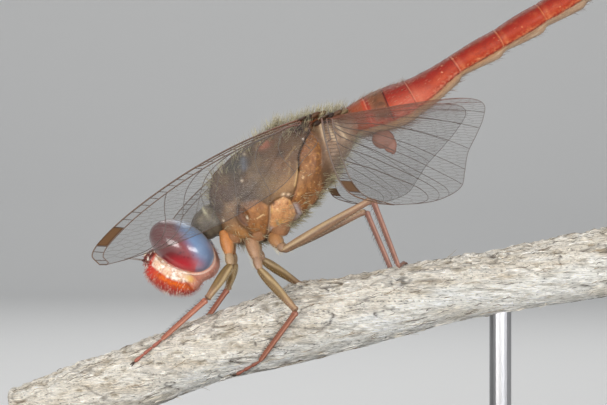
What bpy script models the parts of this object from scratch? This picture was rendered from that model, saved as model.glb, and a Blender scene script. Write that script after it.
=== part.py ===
"""Male red darter-type dragonfly gripping a cut length of dry stem on a plain display stand.

Lengths below are in millimetres and are turned into metres by MM.
The insect faces -X, its left side is -Y, and the body is tipped head down.
The origin is the centre of the underside of the stand's base.
"""
import bpy
import bmesh
import math
from mathutils import Matrix, Vector

MM = 0.001
GAP = 0.03

# ---- body attitude -------------------------------------------------------
BODY_PITCH = math.radians(33.0)
BODY_AT = (-2.14, 22.12)
HEAD_BOW = math.radians(59.0)
HEAD_AT = (-7.65, 17.83)

# ---- thorax: distance back along the axis, top, underside, half width -----
THORAX = (
    (-4.15, 0.20, -1.40, 0.55), (-3.75, 1.45, -2.10, 1.35), (-2.80, 2.45, -2.85, 2.10),
    (-1.40, 2.80, -3.20, 2.55), (0.30, 3.10, -3.30, 2.75), (1.60, 3.38, -3.00, 2.75),
    (2.80, 3.15, -2.55, 2.55), (4.00, 2.75, -2.00, 2.25), (5.20, 2.38, -1.30, 1.85),
    (6.20, 2.02, -0.60, 1.48), (6.70, 1.70, -0.30, 1.25),
)
THORAX_SQUARENESS = 2.4
NECK_AT = (-4.55, 0.10)
NECK = ((-0.9, 0.75), (-0.5, 1.15), (0.0, 1.35), (0.5, 1.3), (0.9, 1.0))

# ---- abdomen: axis x, axis z, half height, half width ---------------------
ABDOMEN_JOINTS = (
    (2.75, 26.20, 1.20, 1.25), (3.94, 26.52, 1.34, 1.32), (7.01, 27.74, 1.17, 1.14),
    (9.80, 29.74, 0.74, 0.90), (12.56, 31.37, 0.74, 0.96), (15.25, 33.00, 0.76, 1.04),
    (17.82, 34.54, 0.76, 1.08), (20.00, 35.82, 0.75, 1.04), (21.41, 36.65, 0.70, 0.92),
    (22.37, 37.22, 0.62, 0.76), (22.94, 37.54, 0.52, 0.60),
)
SEGMENT_BULGE = (0.0, 0.10, -0.04, 0.07, 0.07, 0.06, 0.06, 0.04, 0.02, 0.0)
CERCUS_LENGTH = 1.05
CERCUS_RADIUS = 0.25
GENITAL_LOBE_AT = (5.22, 24.78)

# ---- head, in its own frame: forward, up, half sizes -----------------------
EYE_CENTRE = (-0.33, 1.42, 0.26)
EYE_AXES = (1.46, 1.64, 2.24)
SKULL_CENTRE = (-0.05, 0.0, -0.35)
SKULL_AXES = (1.68, 2.14, 2.30)
FACE_CENTRE = (1.28, 0.0, -0.05)
FACE_AXES = (1.62, 1.62, 2.15)
FACE_CUT = 1.30
ANTENNA_LENGTH = 1.7
ANTENNA_RADIUS = 0.26

# ---- legs: x, y out from the middle, z, radius -----------------------------
LEG_FORE_LEFT = (
    (-5.00, 0.60, 19.20, 0.48), (-4.60, 1.45, 17.05, 0.36), (-6.05, 2.60, 14.95, 0.32),
    (-8.99, 1.50, 12.36, 0.26), (-10.66, 2.10, 11.05, 0.25),
)
LEG_FORE_RIGHT = (
    (-5.00, 0.60, 19.20, 0.48), (-4.45, 1.45, 17.05, 0.36), (-4.95, 2.75, 15.35, 0.32),
    (-7.05, 2.28, 12.62, 0.26), (-8.10, 2.50, 11.20, 0.25),
)
LEG_MID_LEFT = (
    (-3.40, 0.80, 18.90, 0.50), (-2.80, 1.85, 16.80, 0.38), (-0.42, 3.55, 14.25, 0.32),
    (-2.72, 2.25, 10.75, 0.26), (-4.13, 1.50, 9.70, 0.25),
)
LEG_MID_RIGHT = (
    (-3.40, 0.80, 18.90, 0.50), (-2.70, 1.85, 17.30, 0.38), (-0.15, 3.30, 15.55, 0.32),
    (-1.20, 2.85, 12.30, 0.26), (-2.30, 2.25, 10.90, 0.25),
)
LEG_HIND_LEFT = (
    (-1.95, 0.90, 18.90, 0.50), (-1.30, 1.95, 17.95, 0.38), (4.26, 4.20, 21.22, 0.32),
    (6.02, 1.10, 17.05, 0.26), (6.40, -0.20, 17.35, 0.25), (6.85, -1.60, 16.85, 0.25),
)
LEG_HIND_RIGHT = (
    (-1.95, 0.90, 18.90, 0.50), (-1.30, 1.95, 17.95, 0.38), (4.15, 4.20, 20.45, 0.32),
    (5.90, 2.30, 16.30, 0.26), (6.85, 2.60, 15.20, 0.25),
)
KNEE_ROUND = 0.35

# ---- wings: share of the length, then the edge's distance from the spar ----
WING_THICKNESS = 0.52
LEADING_EDGE = ((0.0, 0.0), (0.75, 0.0), (0.9, 0.25), (0.96, 0.7), (1.0, 1.7))
FORE_EDGE = (
    (0.0, 1.0), (0.04, 1.6), (0.09, 2.7), (0.18, 3.8), (0.35, 5.2), (0.55, 6.6),
    (0.7, 6.7), (0.82, 6.1), (0.92, 4.7), (0.98, 3.0), (1.0, 2.1),
)
HIND_EDGE = (
    (0.0, 2.0), (0.015, 4.0), (0.04, 7.2), (0.09, 9.1), (0.17, 9.8), (0.3, 9.4),
    (0.45, 8.5), (0.6, 7.5), (0.75, 6.8), (0.86, 6.2), (0.94, 5.0), (0.98, 3.8), (1.0, 2.4),
)
FORE_WING = dict(root=(-0.22, 1.15, 26.20), length=28.9, sweep=29.3, droop=-5.4,
                 pitch=38.0, curl=7.0, twist=-11.2)
HIND_WING = dict(root=(1.18, 1.40, 26.30), length=27.0, sweep=4.6, droop=7.4,
                 pitch=22.3, curl=3.1, twist=14.4)
WING_SPAN_STEPS = (0.0, 0.015, 0.04, 0.09, 0.17, 0.26, 0.36, 0.46, 0.56, 0.66, 0.76, 0.85,
                   0.92, 0.97, 1.0)
WING_CHORD_STEPS = 5

# ---- perch: axis x, axis z, radius ------------------------------------------
PERCH = (
    (-18.2, 6.95, 2.04), (-17.6, 7.20, 2.12), (-14.5, 8.42, 2.12), (-10.8, 9.75, 2.12),
    (-7.0, 11.24, 2.10), (-4.6, 12.04, 2.18), (-2.1, 12.71, 2.34), (0.4, 13.48, 2.50),
    (2.4, 13.80, 2.32), (5.9, 14.66, 2.22), (9.8, 15.50, 2.06), (13.0, 16.04, 2.04),
    (19.0, 17.14, 2.16), (20.7, 17.52, 2.16),
)
PERCH_SIDES = 20

# ---- stand --------------------------------------------------------------------
BASE_SIZE = (50.0, 40.0, 3.0)
ROD_RADIUS = 0.7
ROD_X = (-12.4, 12.6)


def smooth(table, t):
    """Hermite reading of a short table of (place, value, value...) rows."""
    n = len(table)
    i = 0
    while i < n - 2 and t > table[i + 1][0]:
        i += 1
    h = table[i + 1][0] - table[i][0]
    s = min(max((t - table[i][0]) / h, 0.0), 1.0)
    out = []
    for k in range(1, len(table[0])):
        def slope(j):
            a = max(j - 1, 0)
            b = min(j + 1, n - 1)
            return (table[b][k] - table[a][k]) / (table[b][0] - table[a][0])
        m0 = slope(i) * h
        m1 = slope(i + 1) * h
        p0 = table[i][k]
        p1 = table[i + 1][k]
        out.append((2 * s ** 3 - 3 * s ** 2 + 1) * p0 + (s ** 3 - 2 * s ** 2 + s) * m0
                   + (3 * s ** 2 - 2 * s ** 3) * p1 + (s ** 3 - s ** 2) * m1)
    return out


def oval(count, half_width, top, bottom, squareness):
    """Closed section: across, up; the top and bottom may differ in height."""
    middle = (top + bottom) / 2
    half = (top - bottom) / 2
    ring = []
    for i in range(count):
        a = 2 * math.pi * i / count
        c = math.cos(a)
        s = math.sin(a)
        across = half_width * math.copysign(abs(c) ** (2 / squareness), c)
        up = middle + half * math.copysign(abs(s) ** (2 / squareness), s)
        ring.append((across, up))
    return ring


def loft_mesh(name, rings, origin):
    """Skin a list of rings of world points in mm and close both ends with a fan."""
    bm = bmesh.new()
    base = Vector(origin)
    rows = []
    for ring in rings:
        rows.append([bm.verts.new((Vector(p) - base) * MM) for p in ring])
    n = len(rows[0])
    for a, b in zip(rows, rows[1:]):
        for i in range(n):
            j = (i + 1) % n
            bm.faces.new((a[i], a[j], b[j], b[i]))
    for row, flip in ((rows[0], True), (rows[-1], False)):
        middle = Vector((0, 0, 0))
        for v in row:
            middle += v.co
        hub = bm.verts.new(middle / n)
        for i in range(n):
            j = (i + 1) % n
            if flip:
                bm.faces.new((hub, row[j], row[i]))
            else:
                bm.faces.new((hub, row[i], row[j]))
    bmesh.ops.recalc_face_normals(bm, faces=bm.faces)
    mesh = bpy.data.meshes.new(name)
    bm.to_mesh(mesh)
    bm.free()
    return mesh


def place(name, mesh, origin, group, material=None, rotation=(0, 0, 0)):
    obj = bpy.data.objects.new(name, mesh)
    obj.location = Vector(origin) * MM
    obj.rotation_euler = rotation
    if material is not None:
        mesh.materials.clear()
        mesh.materials.append(material)
    group.objects.link(obj)
    return obj


def cutter(name, mesh, origin, rotation=(0, 0, 0)):
    obj = place(name, mesh, origin, CUTTERS, None, rotation)
    obj.hide_render = True
    obj.display_type = 'WIRE'
    return obj


def boolean(obj, tool, operation='DIFFERENCE'):
    mod = obj.modifiers.new(operation.title() + ' ' + tool.name, 'BOOLEAN')
    mod.operation = operation
    mod.solver = 'EXACT'
    mod.object = tool
    return obj


def paint(name, colour, roughness, metallic=0.0):
    mat = bpy.data.materials.new(name)
    mat.use_nodes = True
    shader = mat.node_tree.nodes['Principled BSDF']
    shader.inputs['Base Color'].default_value = (*colour, 1.0)
    shader.inputs['Roughness'].default_value = roughness
    shader.inputs['Metallic'].default_value = metallic
    mat.diffuse_color = (*colour, 1.0)
    return mat


def body_point(back, across, up):
    c = math.cos(BODY_PITCH)
    s = math.sin(BODY_PITCH)
    return (BODY_AT[0] + back * c - up * s, across, BODY_AT[1] + back * s + up * c)


def thorax_mesh(name, grow):
    rings = []
    for k, (back, top, bottom, wide) in enumerate(THORAX):
        shift = -grow if k == 0 else (grow if k == len(THORAX) - 1 else 0)
        ring = oval(28, wide + grow, top + grow, bottom - grow, THORAX_SQUARENESS)
        rings.append([body_point(back + shift, y, u) for y, u in ring])
    return loft_mesh(name, rings, body_point(0, 0, 0))


def ellipsoid_mesh(name, centre, axes, grow=0.0, segments=24, rings=14):
    """Ellipsoid in the head's frame: forward is -X, up is +Z, mesh in metres."""
    bm = bmesh.new()
    bmesh.ops.create_uvsphere(bm, u_segments=segments, v_segments=rings, radius=1.0)
    bmesh.ops.scale(bm, vec=Vector([(a + grow) * MM for a in axes]), verts=bm.verts)
    offset = Vector((-centre[0], centre[1], centre[2])) * MM
    bmesh.ops.translate(bm, vec=offset, verts=bm.verts)
    mesh = bpy.data.meshes.new(name)
    bm.to_mesh(mesh)
    bm.free()
    return mesh


def box_mesh(name, low, high):
    bm = bmesh.new()
    bmesh.ops.create_cube(bm, size=1.0)
    for v in bm.verts:
        v.co = Vector([(low[k] if v.co[k] < 0 else high[k]) * MM for k in range(3)])
    mesh = bpy.data.meshes.new(name)
    bm.to_mesh(mesh)
    bm.free()
    return mesh


def rounded_path(points, reach):
    """Replace each inner corner by three points so that the tube bends smoothly."""
    out = [points[0]]
    for a, b, c in zip(points, points[1:], points[2:]):
        pa = Vector(a[:3])
        pb = Vector(b[:3])
        pc = Vector(c[:3])
        r1 = min(reach, (pa - pb).length * 0.4)
        r2 = min(reach, (pc - pb).length * 0.4)
        before = pb + (pa - pb).normalized() * r1
        after = pb + (pc - pb).normalized() * r2
        middle = pb * 0.5 + (before + after) * 0.25
        out.append((*before, b[3]))
        out.append((*middle, b[3]))
        out.append((*after, (b[3] + b[3]) / 2))
    out.append(points[-1])
    return out


def tube_mesh(name, points, origin):
    """Round tube of changing radius through (x, y, z, radius) rows, closed at both ends."""
    curve = bpy.data.curves.new(name + ' path', 'CURVE')
    curve.dimensions = '3D'
    curve.bevel_depth = MM
    curve.bevel_resolution = 2
    curve.use_fill_caps = True
    spline = curve.splines.new('POLY')
    spline.points.add(len(points) - 1)
    for item, (x, y, z, radius) in zip(spline.points, points):
        local = (Vector((x, y, z)) - Vector(origin)) * MM
        item.co = (*local, 1.0)
        item.radius = radius
    temp = bpy.data.objects.new(name + ' path', curve)
    mesh = bpy.data.meshes.new_from_object(temp)
    mesh.name = name
    bpy.data.objects.remove(temp)
    bpy.data.curves.remove(curve)
    bm = bmesh.new()
    bm.from_mesh(mesh)
    bmesh.ops.remove_doubles(bm, verts=bm.verts, dist=1e-7)
    bmesh.ops.recalc_face_normals(bm, faces=bm.faces)
    bm.to_mesh(mesh)
    bm.free()
    return mesh


def wing_mesh(name, wing, edge, side):
    """Thin sheet over the span and chord; Solidify gives it its thickness."""
    forward = Vector((-math.cos(BODY_PITCH), 0, -math.sin(BODY_PITCH)))
    up = Vector((-math.sin(BODY_PITCH), 0, math.cos(BODY_PITCH)))
    out = Vector((0, side, 0))
    sweep = math.radians(wing['sweep'])
    level = out * math.cos(sweep) + forward * math.sin(sweep)
    back = (forward * math.cos(sweep) - out * math.sin(sweep)) * -1
    bm = bmesh.new()
    rows = []
    root = Vector((wing['root'][0], side * wing['root'][1], wing['root'][2]))
    for share in WING_SPAN_STEPS:
        droop = math.radians(wing['droop'] + wing['curl'] * share)
        pitch = math.radians(wing['pitch'] + wing['twist'] * share)
        spar = level * math.cos(droop) - up * math.sin(droop)
        normal = up * math.cos(droop) + level * math.sin(droop)
        chord = back * math.cos(pitch) - normal * math.sin(pitch)
        lead = smooth(LEADING_EDGE, share)[0]
        trail = max(smooth(edge, share)[0], lead + 0.3)
        row = []
        for k in range(WING_CHORD_STEPS + 1):
            f = k / WING_CHORD_STEPS
            camber = 0.25 * math.sin(math.pi * f) * math.sin(math.pi * min(share * 1.2, 1))
            p = spar * (wing['length'] * share) + chord * (lead + (trail - lead) * f)
            p = p + normal * camber
            row.append(bm.verts.new(p * MM))
        rows.append(row)
    for a, b in zip(rows, rows[1:]):
        for k in range(WING_CHORD_STEPS):
            bm.faces.new((a[k], a[k + 1], b[k + 1], b[k]))
    bmesh.ops.recalc_face_normals(bm, faces=bm.faces)
    mesh = bpy.data.meshes.new(name)
    bm.to_mesh(mesh)
    bm.free()
    return mesh, root


def perch_mesh(name, grow):
    rings = []
    count = len(PERCH)
    for k, (x, z, radius) in enumerate(PERCH):
        before = PERCH[max(k - 1, 0)]
        after = PERCH[min(k + 1, count - 1)]
        along = Vector((after[0] - before[0], 0, after[1] - before[1])).normalized()
        up = Vector((-along.z, 0, along.x))
        ring = []
        for i in range(PERCH_SIDES):
            a = 2 * math.pi * (i + 0.5) / PERCH_SIDES
            r = radius + grow
            ring.append(Vector((x, r * math.cos(a), z)) + up * (r * math.sin(a)))
        rings.append(ring)
    return loft_mesh(name, rings, (0, 0, 0))


def abdomen_segment(index):
    """One tergite ring: straight sided or slightly swollen between its two joints."""
    a = ABDOMEN_JOINTS[index]
    b = ABDOMEN_JOINTS[index + 1]
    along = Vector((b[0] - a[0], 0, b[1] - a[1]))
    unit = along.normalized()
    start = Vector((a[0], 0, a[1])) + unit * (GAP / 2)
    end = Vector((b[0], 0, b[1])) - unit * (GAP / 2)
    last = len(ABDOMEN_JOINTS) - 1
    rings = []
    for share in (0.0, 0.5, 1.0):
        def joint_up(j):
            p = ABDOMEN_JOINTS[max(j - 1, 0)]
            q = ABDOMEN_JOINTS[min(j + 1, last)]
            d = Vector((q[0] - p[0], 0, q[1] - p[1])).normalized()
            return Vector((-d.z, 0, d.x))
        up = joint_up(index).lerp(joint_up(index + 1), share).normalized()
        swell = SEGMENT_BULGE[index] * 4 * share * (1 - share)
        tall = a[2] + (b[2] - a[2]) * share + swell
        wide = a[3] + (b[3] - a[3]) * share + swell
        centre = start.lerp(end, share)
        ring = [centre + Vector((0, y, 0)) + up * h for y, h in oval(20, wide, tall, -tall, 2.2)]
        rings.append(ring)
    origin = start.lerp(end, 0.5)
    return loft_mesh('abdomen_%d' % (index + 1), rings, origin), origin


def segment_outline(index, grow):
    """The segment's solid, swollen by grow, as a cutter for what sits against it."""
    mesh, origin = abdomen_segment(index)
    for v in mesh.vertices:
        v.co *= 1.0 + grow
    return mesh, origin


def clear_scene():
    for obj in list(bpy.data.objects):
        bpy.data.objects.remove(obj)


clear_scene()
PARTS = bpy.data.collections.new('dragonfly')
bpy.context.scene.collection.children.link(PARTS)
CUTTERS = bpy.data.collections.new('dragonfly_cutters')
bpy.context.scene.collection.children.link(CUTTERS)

RED = paint('abdomen_red', (0.55, 0.07, 0.04), 0.45)
BROWN = paint('thorax_brown', (0.36, 0.18, 0.07), 0.6)
FACE_RED = paint('face_red', (0.62, 0.09, 0.03), 0.4)
HEAD_PINK = paint('head_pink', (0.42, 0.17, 0.12), 0.5)
EYE = paint('eye_red', (0.30, 0.05, 0.05), 0.15)
LEG = paint('leg_brown', (0.34, 0.16, 0.08), 0.5)
WING = paint('wing_clear', (0.55, 0.50, 0.42), 0.3)
BARK = paint('perch_bark', (0.62, 0.56, 0.47), 0.9)
BASE = paint('stand_black', (0.03, 0.03, 0.035), 0.45)
STEEL = paint('stand_steel', (0.6, 0.6, 0.6), 0.3, 1.0)

# ---- cutters that keep neighbours clear of each other ----------------------------
HEAD_ORIGIN = (HEAD_AT[0], 0, HEAD_AT[1])
HEAD_TURN = (0, -HEAD_BOW, 0)
thorax_clear = cutter('thorax_clear', thorax_mesh('thorax_clear', GAP), body_point(0, 0, 0))
perch_clear = cutter('perch_clear', perch_mesh('perch_clear', GAP), (0, 0, 0))
skull_clear = cutter('skull_clear', ellipsoid_mesh('skull_clear', SKULL_CENTRE, SKULL_AXES, GAP),
                     HEAD_ORIGIN, HEAD_TURN)
face_front = cutter('face_front', box_mesh('face_front', (-9, -5, -6), (-FACE_CUT, 5, 6)),
                    HEAD_ORIGIN, HEAD_TURN)
face_back = cutter('face_back', box_mesh('face_back', (-FACE_CUT - GAP, -5, -6), (9, 5, 6)),
                   HEAD_ORIGIN, HEAD_TURN)
face_blob = cutter('face_blob', ellipsoid_mesh('face_blob', FACE_CENTRE, FACE_AXES),
                   HEAD_ORIGIN, HEAD_TURN)
eye_clear = []
for side, word in ((-1, 'left'), (1, 'right')):
    centre = (EYE_CENTRE[0], side * EYE_CENTRE[1], EYE_CENTRE[2])
    eye_clear.append(cutter('eye_clear_' + word,
                            ellipsoid_mesh('eye_clear_' + word, centre, EYE_AXES, GAP),
                            HEAD_ORIGIN, HEAD_TURN))

# ---- thorax and neck ------------------------------------------------------------------
place('thorax', thorax_mesh('thorax', 0.0), body_point(0, 0, 0), PARTS, BROWN)



def neck_mesh(name, grow):
    rings = []
    for back, radius in NECK:
        r = radius + grow
        ring = oval(20, r * 1.15, r * 0.95, -r * 0.85, 2.1)
        rings.append([body_point(NECK_AT[0] + back, y, NECK_AT[1] + u) for y, u in ring])
    return loft_mesh(name, rings, body_point(NECK_AT[0], 0, NECK_AT[1]))


neck_origin = body_point(NECK_AT[0], 0, NECK_AT[1])
neck_clear = cutter('neck_clear', neck_mesh('neck_clear', GAP), neck_origin)
neck = place('prothorax', neck_mesh('prothorax', 0.0), neck_origin, PARTS, BROWN)
boolean(neck, thorax_clear)
boolean(neck, skull_clear)
for tool in eye_clear:
    boolean(neck, tool)

# ---- head -------------------------------------------------------------------------------
head = place('head', ellipsoid_mesh('head', SKULL_CENTRE, SKULL_AXES), HEAD_ORIGIN, PARTS,
             HEAD_PINK, HEAD_TURN)
boolean(head, face_blob, 'UNION')
boolean(head, face_front)
face = place('face', ellipsoid_mesh('face', FACE_CENTRE, FACE_AXES), HEAD_ORIGIN, PARTS,
             FACE_RED, HEAD_TURN)
boolean(face, face_back)
for tool in eye_clear:
    boolean(head, tool)
    boolean(face, tool)
for side, word in ((-1, 'left'), (1, 'right')):
    centre = (EYE_CENTRE[0], side * EYE_CENTRE[1], EYE_CENTRE[2])
    eye = place('eye_' + word, ellipsoid_mesh('eye_' + word, centre, EYE_AXES), HEAD_ORIGIN,
                PARTS, EYE, HEAD_TURN)
    inner = (-6, -GAP / 2, -6) if side < 0 else (-6, -6, -6)
    outer = (6, 6, 6) if side < 0 else (6, GAP / 2, 6)
    boolean(eye, cutter('middle_' + word, box_mesh('middle_' + word, inner, outer),
                        HEAD_ORIGIN, HEAD_TURN))

# ---- antennae ------------------------------------------------------------------------------
forward = Vector((-math.cos(HEAD_BOW), 0, -math.sin(HEAD_BOW)))
crown = Vector((-math.sin(HEAD_BOW), 0, math.cos(HEAD_BOW)))
for side, word in ((-1, 'left'), (1, 'right')):
    root = Vector(HEAD_ORIGIN) + forward * 1.75 + crown * 1.75 + Vector((0, side * 0.45, 0))
    aim = (forward * 0.45 + crown * 1.0 + Vector((0, side * 0.4, 0))).normalized()
    tip = root + aim * ANTENNA_LENGTH
    points = ((*root, ANTENNA_RADIUS), (*root.lerp(tip, 0.5), ANTENNA_RADIUS),
              (*tip, ANTENNA_RADIUS * 0.96))
    antenna = place('antenna_' + word, tube_mesh('antenna_' + word, points, root), root, PARTS, LEG)
    for tool in eye_clear:
        boolean(antenna, tool)
    face_gap = cutter('face_clear_' + word,
                      ellipsoid_mesh('face_clear_' + word, FACE_CENTRE, FACE_AXES, GAP),
                      HEAD_ORIGIN, HEAD_TURN)
    boolean(antenna, face_gap)

# ---- abdomen ----------------------------------------------------------------------------------
for number in range(10):
    mesh, origin = abdomen_segment(number)
    segment = place('abdomen_%d' % (number + 1), mesh, origin, PARTS, RED)
    if number == 0:
        boolean(segment, thorax_clear)

end = ABDOMEN_JOINTS[-1]
near_end = ABDOMEN_JOINTS[-2]
tail = Vector((end[0] - near_end[0], 0, end[1] - near_end[1])).normalized()
tail_up = Vector((-tail.z, 0, tail.x))
tail_at = Vector((end[0], 0, end[1])) + tail * GAP
for name, across, lift, length in (('cercus_left', -0.30, 0.12, CERCUS_LENGTH),
                                   ('cercus_right', 0.30, 0.12, CERCUS_LENGTH),
                                   ('epiproct', 0.0, -0.26, CERCUS_LENGTH * 0.7)):
    a = tail_at + Vector((0, across, 0)) + tail_up * lift
    b = a + tail * length
    points = ((*a, CERCUS_RADIUS), (*a.lerp(b, 0.5), CERCUS_RADIUS * 1.05),
              (*b, CERCUS_RADIUS * 0.98))
    if name == 'epiproct':
        points = ((*a, 0.24), (*a.lerp(b, 0.5), 0.25), (*b, 0.24))
    place(name, tube_mesh(name, points, a), a, PARTS, RED)

lobe_rings = []
for share, radius in ((-0.70, 0.45), (-0.35, 0.70), (0.1, 0.78), (0.5, 0.62), (0.75, 0.35)):
    ring = oval(14, radius * 0.75, radius, -radius, 2.0)
    lobe_rings.append([(GENITAL_LOBE_AT[0] + share + u * 0.15, y, GENITAL_LOBE_AT[1] + u
                        + share * 0.25) for y, u in ring])
lobe_origin = (GENITAL_LOBE_AT[0], 0, GENITAL_LOBE_AT[1])
lobe = place('genital_lobe', loft_mesh('genital_lobe', lobe_rings, lobe_origin), lobe_origin,
             PARTS, RED)
belly_mesh, belly_at = segment_outline(1, 0.03)
boolean(lobe, cutter('belly_clear', belly_mesh, belly_at))

# ---- wings ------------------------------------------------------------------------------------------
for pair, wing, edge in (('fore', FORE_WING, FORE_EDGE), ('hind', HIND_WING, HIND_EDGE)):
    for side, word in ((-1, 'left'), (1, 'right')):
        name = 'wing_%s_%s' % (pair, word)
        mesh, root = wing_mesh(name, wing, edge, side)
        sheet = place(name, mesh, root, PARTS, WING)
        solid = sheet.modifiers.new('Thickness', 'SOLIDIFY')
        solid.thickness = WING_THICKNESS * MM
        solid.offset = 0.0
        solid.use_rim = True
        boolean(sheet, thorax_clear)

# ---- legs -----------------------------------------------------------------------------------------------
LEGS = (('leg_fore_left', LEG_FORE_LEFT, -1), ('leg_fore_right', LEG_FORE_RIGHT, 1),
        ('leg_mid_left', LEG_MID_LEFT, -1), ('leg_mid_right', LEG_MID_RIGHT, 1),
        ('leg_hind_left', LEG_HIND_LEFT, -1), ('leg_hind_right', LEG_HIND_RIGHT, 1))
for name, rows, side in LEGS:
    points = rounded_path([(x, side * y, z, r) for x, y, z, r in rows], KNEE_ROUND)
    origin = points[0][:3]
    leg = place(name, tube_mesh(name, points, origin), origin, PARTS, LEG)
    boolean(leg, thorax_clear)
    boolean(leg, perch_clear)
    if name.startswith('leg_fore'):
        boolean(leg, neck_clear)

# ---- perch and stand -----------------------------------------------------------------------------------------
place('perch', perch_mesh('perch', 0.0), (0, 0, 0), PARTS, BARK)
base = place('stand_base', box_mesh('stand_base', (-BASE_SIZE[0] / 2, -BASE_SIZE[1] / 2, 0),
                                    (BASE_SIZE[0] / 2, BASE_SIZE[1] / 2, BASE_SIZE[2])),
             (0, 0, 0), PARTS, BASE)
bevel = base.modifiers.new('Edges', 'BEVEL')
bevel.width = 0.5 * MM
bevel.segments = 2
for x, word in zip(ROD_X, ('front', 'rear')):
    low = BASE_SIZE[2] + GAP
    high = smooth(PERCH, x)[0]
    bm = bmesh.new()
    bmesh.ops.create_cone(bm, cap_ends=True, segments=24, radius1=ROD_RADIUS * MM,
                          radius2=ROD_RADIUS * MM, depth=(high - low) * MM)
    mesh = bpy.data.meshes.new('stand_rod_' + word)
    bm.to_mesh(mesh)
    bm.free()
    rod = place('stand_rod_' + word, mesh, (x, 0, (high + low) / 2), PARTS, STEEL)
    boolean(rod, perch_clear)
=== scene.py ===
"""Looks of the dragonfly on its perch: skins, eyes, veined wings, coat, bark and stand."""
import math

import bmesh
import bpy
import numpy as np
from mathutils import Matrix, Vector
from mathutils.geometry import delaunay_2d_cdt


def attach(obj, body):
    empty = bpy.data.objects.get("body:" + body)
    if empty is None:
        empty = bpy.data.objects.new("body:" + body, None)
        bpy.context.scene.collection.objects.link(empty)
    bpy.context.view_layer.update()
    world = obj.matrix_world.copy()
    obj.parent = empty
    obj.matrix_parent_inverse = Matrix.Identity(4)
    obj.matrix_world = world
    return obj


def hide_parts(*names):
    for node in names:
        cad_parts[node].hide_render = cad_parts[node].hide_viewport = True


bl_info = {
    "name": "Dragonfly on a Perch",
    "version": (1, 0, 0),
    "blender": (4, 5, 0),
    "location": "View3D > Sidebar > Dragonfly",
    "description": "Builds the visible surfaces of a dragonfly model round its solids",
    "category": "Object",
}

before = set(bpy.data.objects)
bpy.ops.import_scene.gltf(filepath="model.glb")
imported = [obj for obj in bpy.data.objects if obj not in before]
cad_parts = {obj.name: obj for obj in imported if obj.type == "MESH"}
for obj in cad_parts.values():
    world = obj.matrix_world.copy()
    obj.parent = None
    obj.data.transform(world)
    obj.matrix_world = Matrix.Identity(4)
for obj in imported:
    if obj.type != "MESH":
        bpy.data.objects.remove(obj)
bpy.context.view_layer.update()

MM = 0.001

# ---- attitude of the body and the head, in millimetres and degrees ----
BODY_PITCH = math.radians(33.0)
BODY_COS = math.cos(BODY_PITCH)
BODY_SIN = math.sin(BODY_PITCH)
BODY_AT = (-2.14, 22.12)
HEAD_BOW = math.radians(59.0)
HEAD_AT = (-7.65, 17.83)

# back along the axis, top, underside, half width
THORAX = (
    (-4.20, -0.55, -0.65, 0.05), (-4.12, 0.20, -1.30, 0.60), (-3.75, 1.38, -2.05, 1.35),
    (-2.80, 2.38, -2.72, 2.08), (-1.40, 2.70, -2.98, 2.45), (0.30, 2.88, -2.86, 2.66),
    (1.60, 3.00, -2.62, 2.66), (2.80, 2.74, -2.22, 2.46), (4.00, 2.32, -1.78, 2.16),
    (5.20, 1.92, -1.15, 1.78), (6.20, 1.55, -0.55, 1.42), (6.80, 1.25, -0.25, 1.18),
)
# axis x, axis z, half height, half width at each joint of the abdomen
ABDOMEN = (
    (2.45, 25.95, 0.80, 1.00), (4.20, 26.55, 1.18, 1.24), (7.01, 27.74, 1.15, 1.12),
    (9.80, 29.74, 0.74, 0.90), (12.56, 31.37, 0.74, 0.96), (15.25, 33.00, 0.76, 1.04),
    (17.82, 34.54, 0.76, 1.08), (20.00, 35.82, 0.75, 1.04), (21.41, 36.65, 0.70, 0.92),
    (22.37, 37.22, 0.62, 0.76), (22.94, 37.54, 0.50, 0.58),
)
SWELL = (0.0, 0.10, -0.03, 0.07, 0.07, 0.06, 0.06, 0.04, 0.02, 0.0)
# axis x, axis z, radius
PERCH = (
    (-18.2, 6.95, 2.04), (-17.6, 7.20, 2.12), (-14.5, 8.42, 2.12), (-10.8, 9.75, 2.12),
    (-7.0, 11.24, 2.10), (-4.6, 12.04, 2.18), (-2.1, 12.71, 2.34), (0.4, 13.48, 2.50),
    (2.4, 13.80, 2.32), (5.9, 14.66, 2.22), (9.8, 15.50, 2.06), (13.0, 16.04, 2.04),
    (19.0, 17.14, 2.16), (20.7, 17.52, 2.16),
)
EYE_CENTRE = np.array((-0.33, 1.42, 0.26))
EYE_AXES = np.array((1.46, 1.64, 2.24))
SKULL_CENTRE = np.array((-0.01, 0.0, -0.35))
SKULL_AXES = np.array((1.50, 2.00, 2.22))
FACE_CENTRE = np.array((1.28, 0.0, -0.05))
FACE_AXES = np.array((1.52, 1.50, 2.02))

# the camera looks straight along y: its distance and height and the width of its view, in mm
CAMERA_AWAY = 120.0
CAMERA_UP = 21.0
VIEW_WIDTH = 38.848
SENSOR_WIDTH = 36.0

# share of a wing's span, then distance behind its spar in mm
LEADING_EDGE = ((0.0, 0.0), (0.75, 0.0), (0.9, 0.25), (0.96, 0.7), (1.0, 1.7))
FORE_EDGE = (
    (0.0, 0.9), (0.04, 1.25), (0.09, 2.0), (0.18, 3.8), (0.35, 5.2), (0.55, 6.6),
    (0.7, 6.7), (0.82, 6.1), (0.92, 4.7), (0.98, 3.0), (1.0, 2.1),
)
HIND_EDGE = (
    (0.0, 2.0), (0.015, 4.0), (0.04, 7.2), (0.09, 9.1), (0.17, 9.8), (0.3, 9.4),
    (0.45, 8.5), (0.6, 7.5), (0.75, 6.8), (0.86, 6.2), (0.94, 5.0), (0.98, 3.8), (1.0, 2.4),
)
FORE_WING = dict(root=(-0.22, 1.15, 26.20), length=28.9, sweep=29.3, droop=-5.4,
                 pitch=38.0, curl=7.0, twist=-11.2)
HIND_WING = dict(root=(1.18, 1.40, 26.30), length=27.0, sweep=4.6, droop=7.4,
                 pitch=22.3, curl=3.1, twist=14.4)
LEAST_CHORD = 0.3
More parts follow.
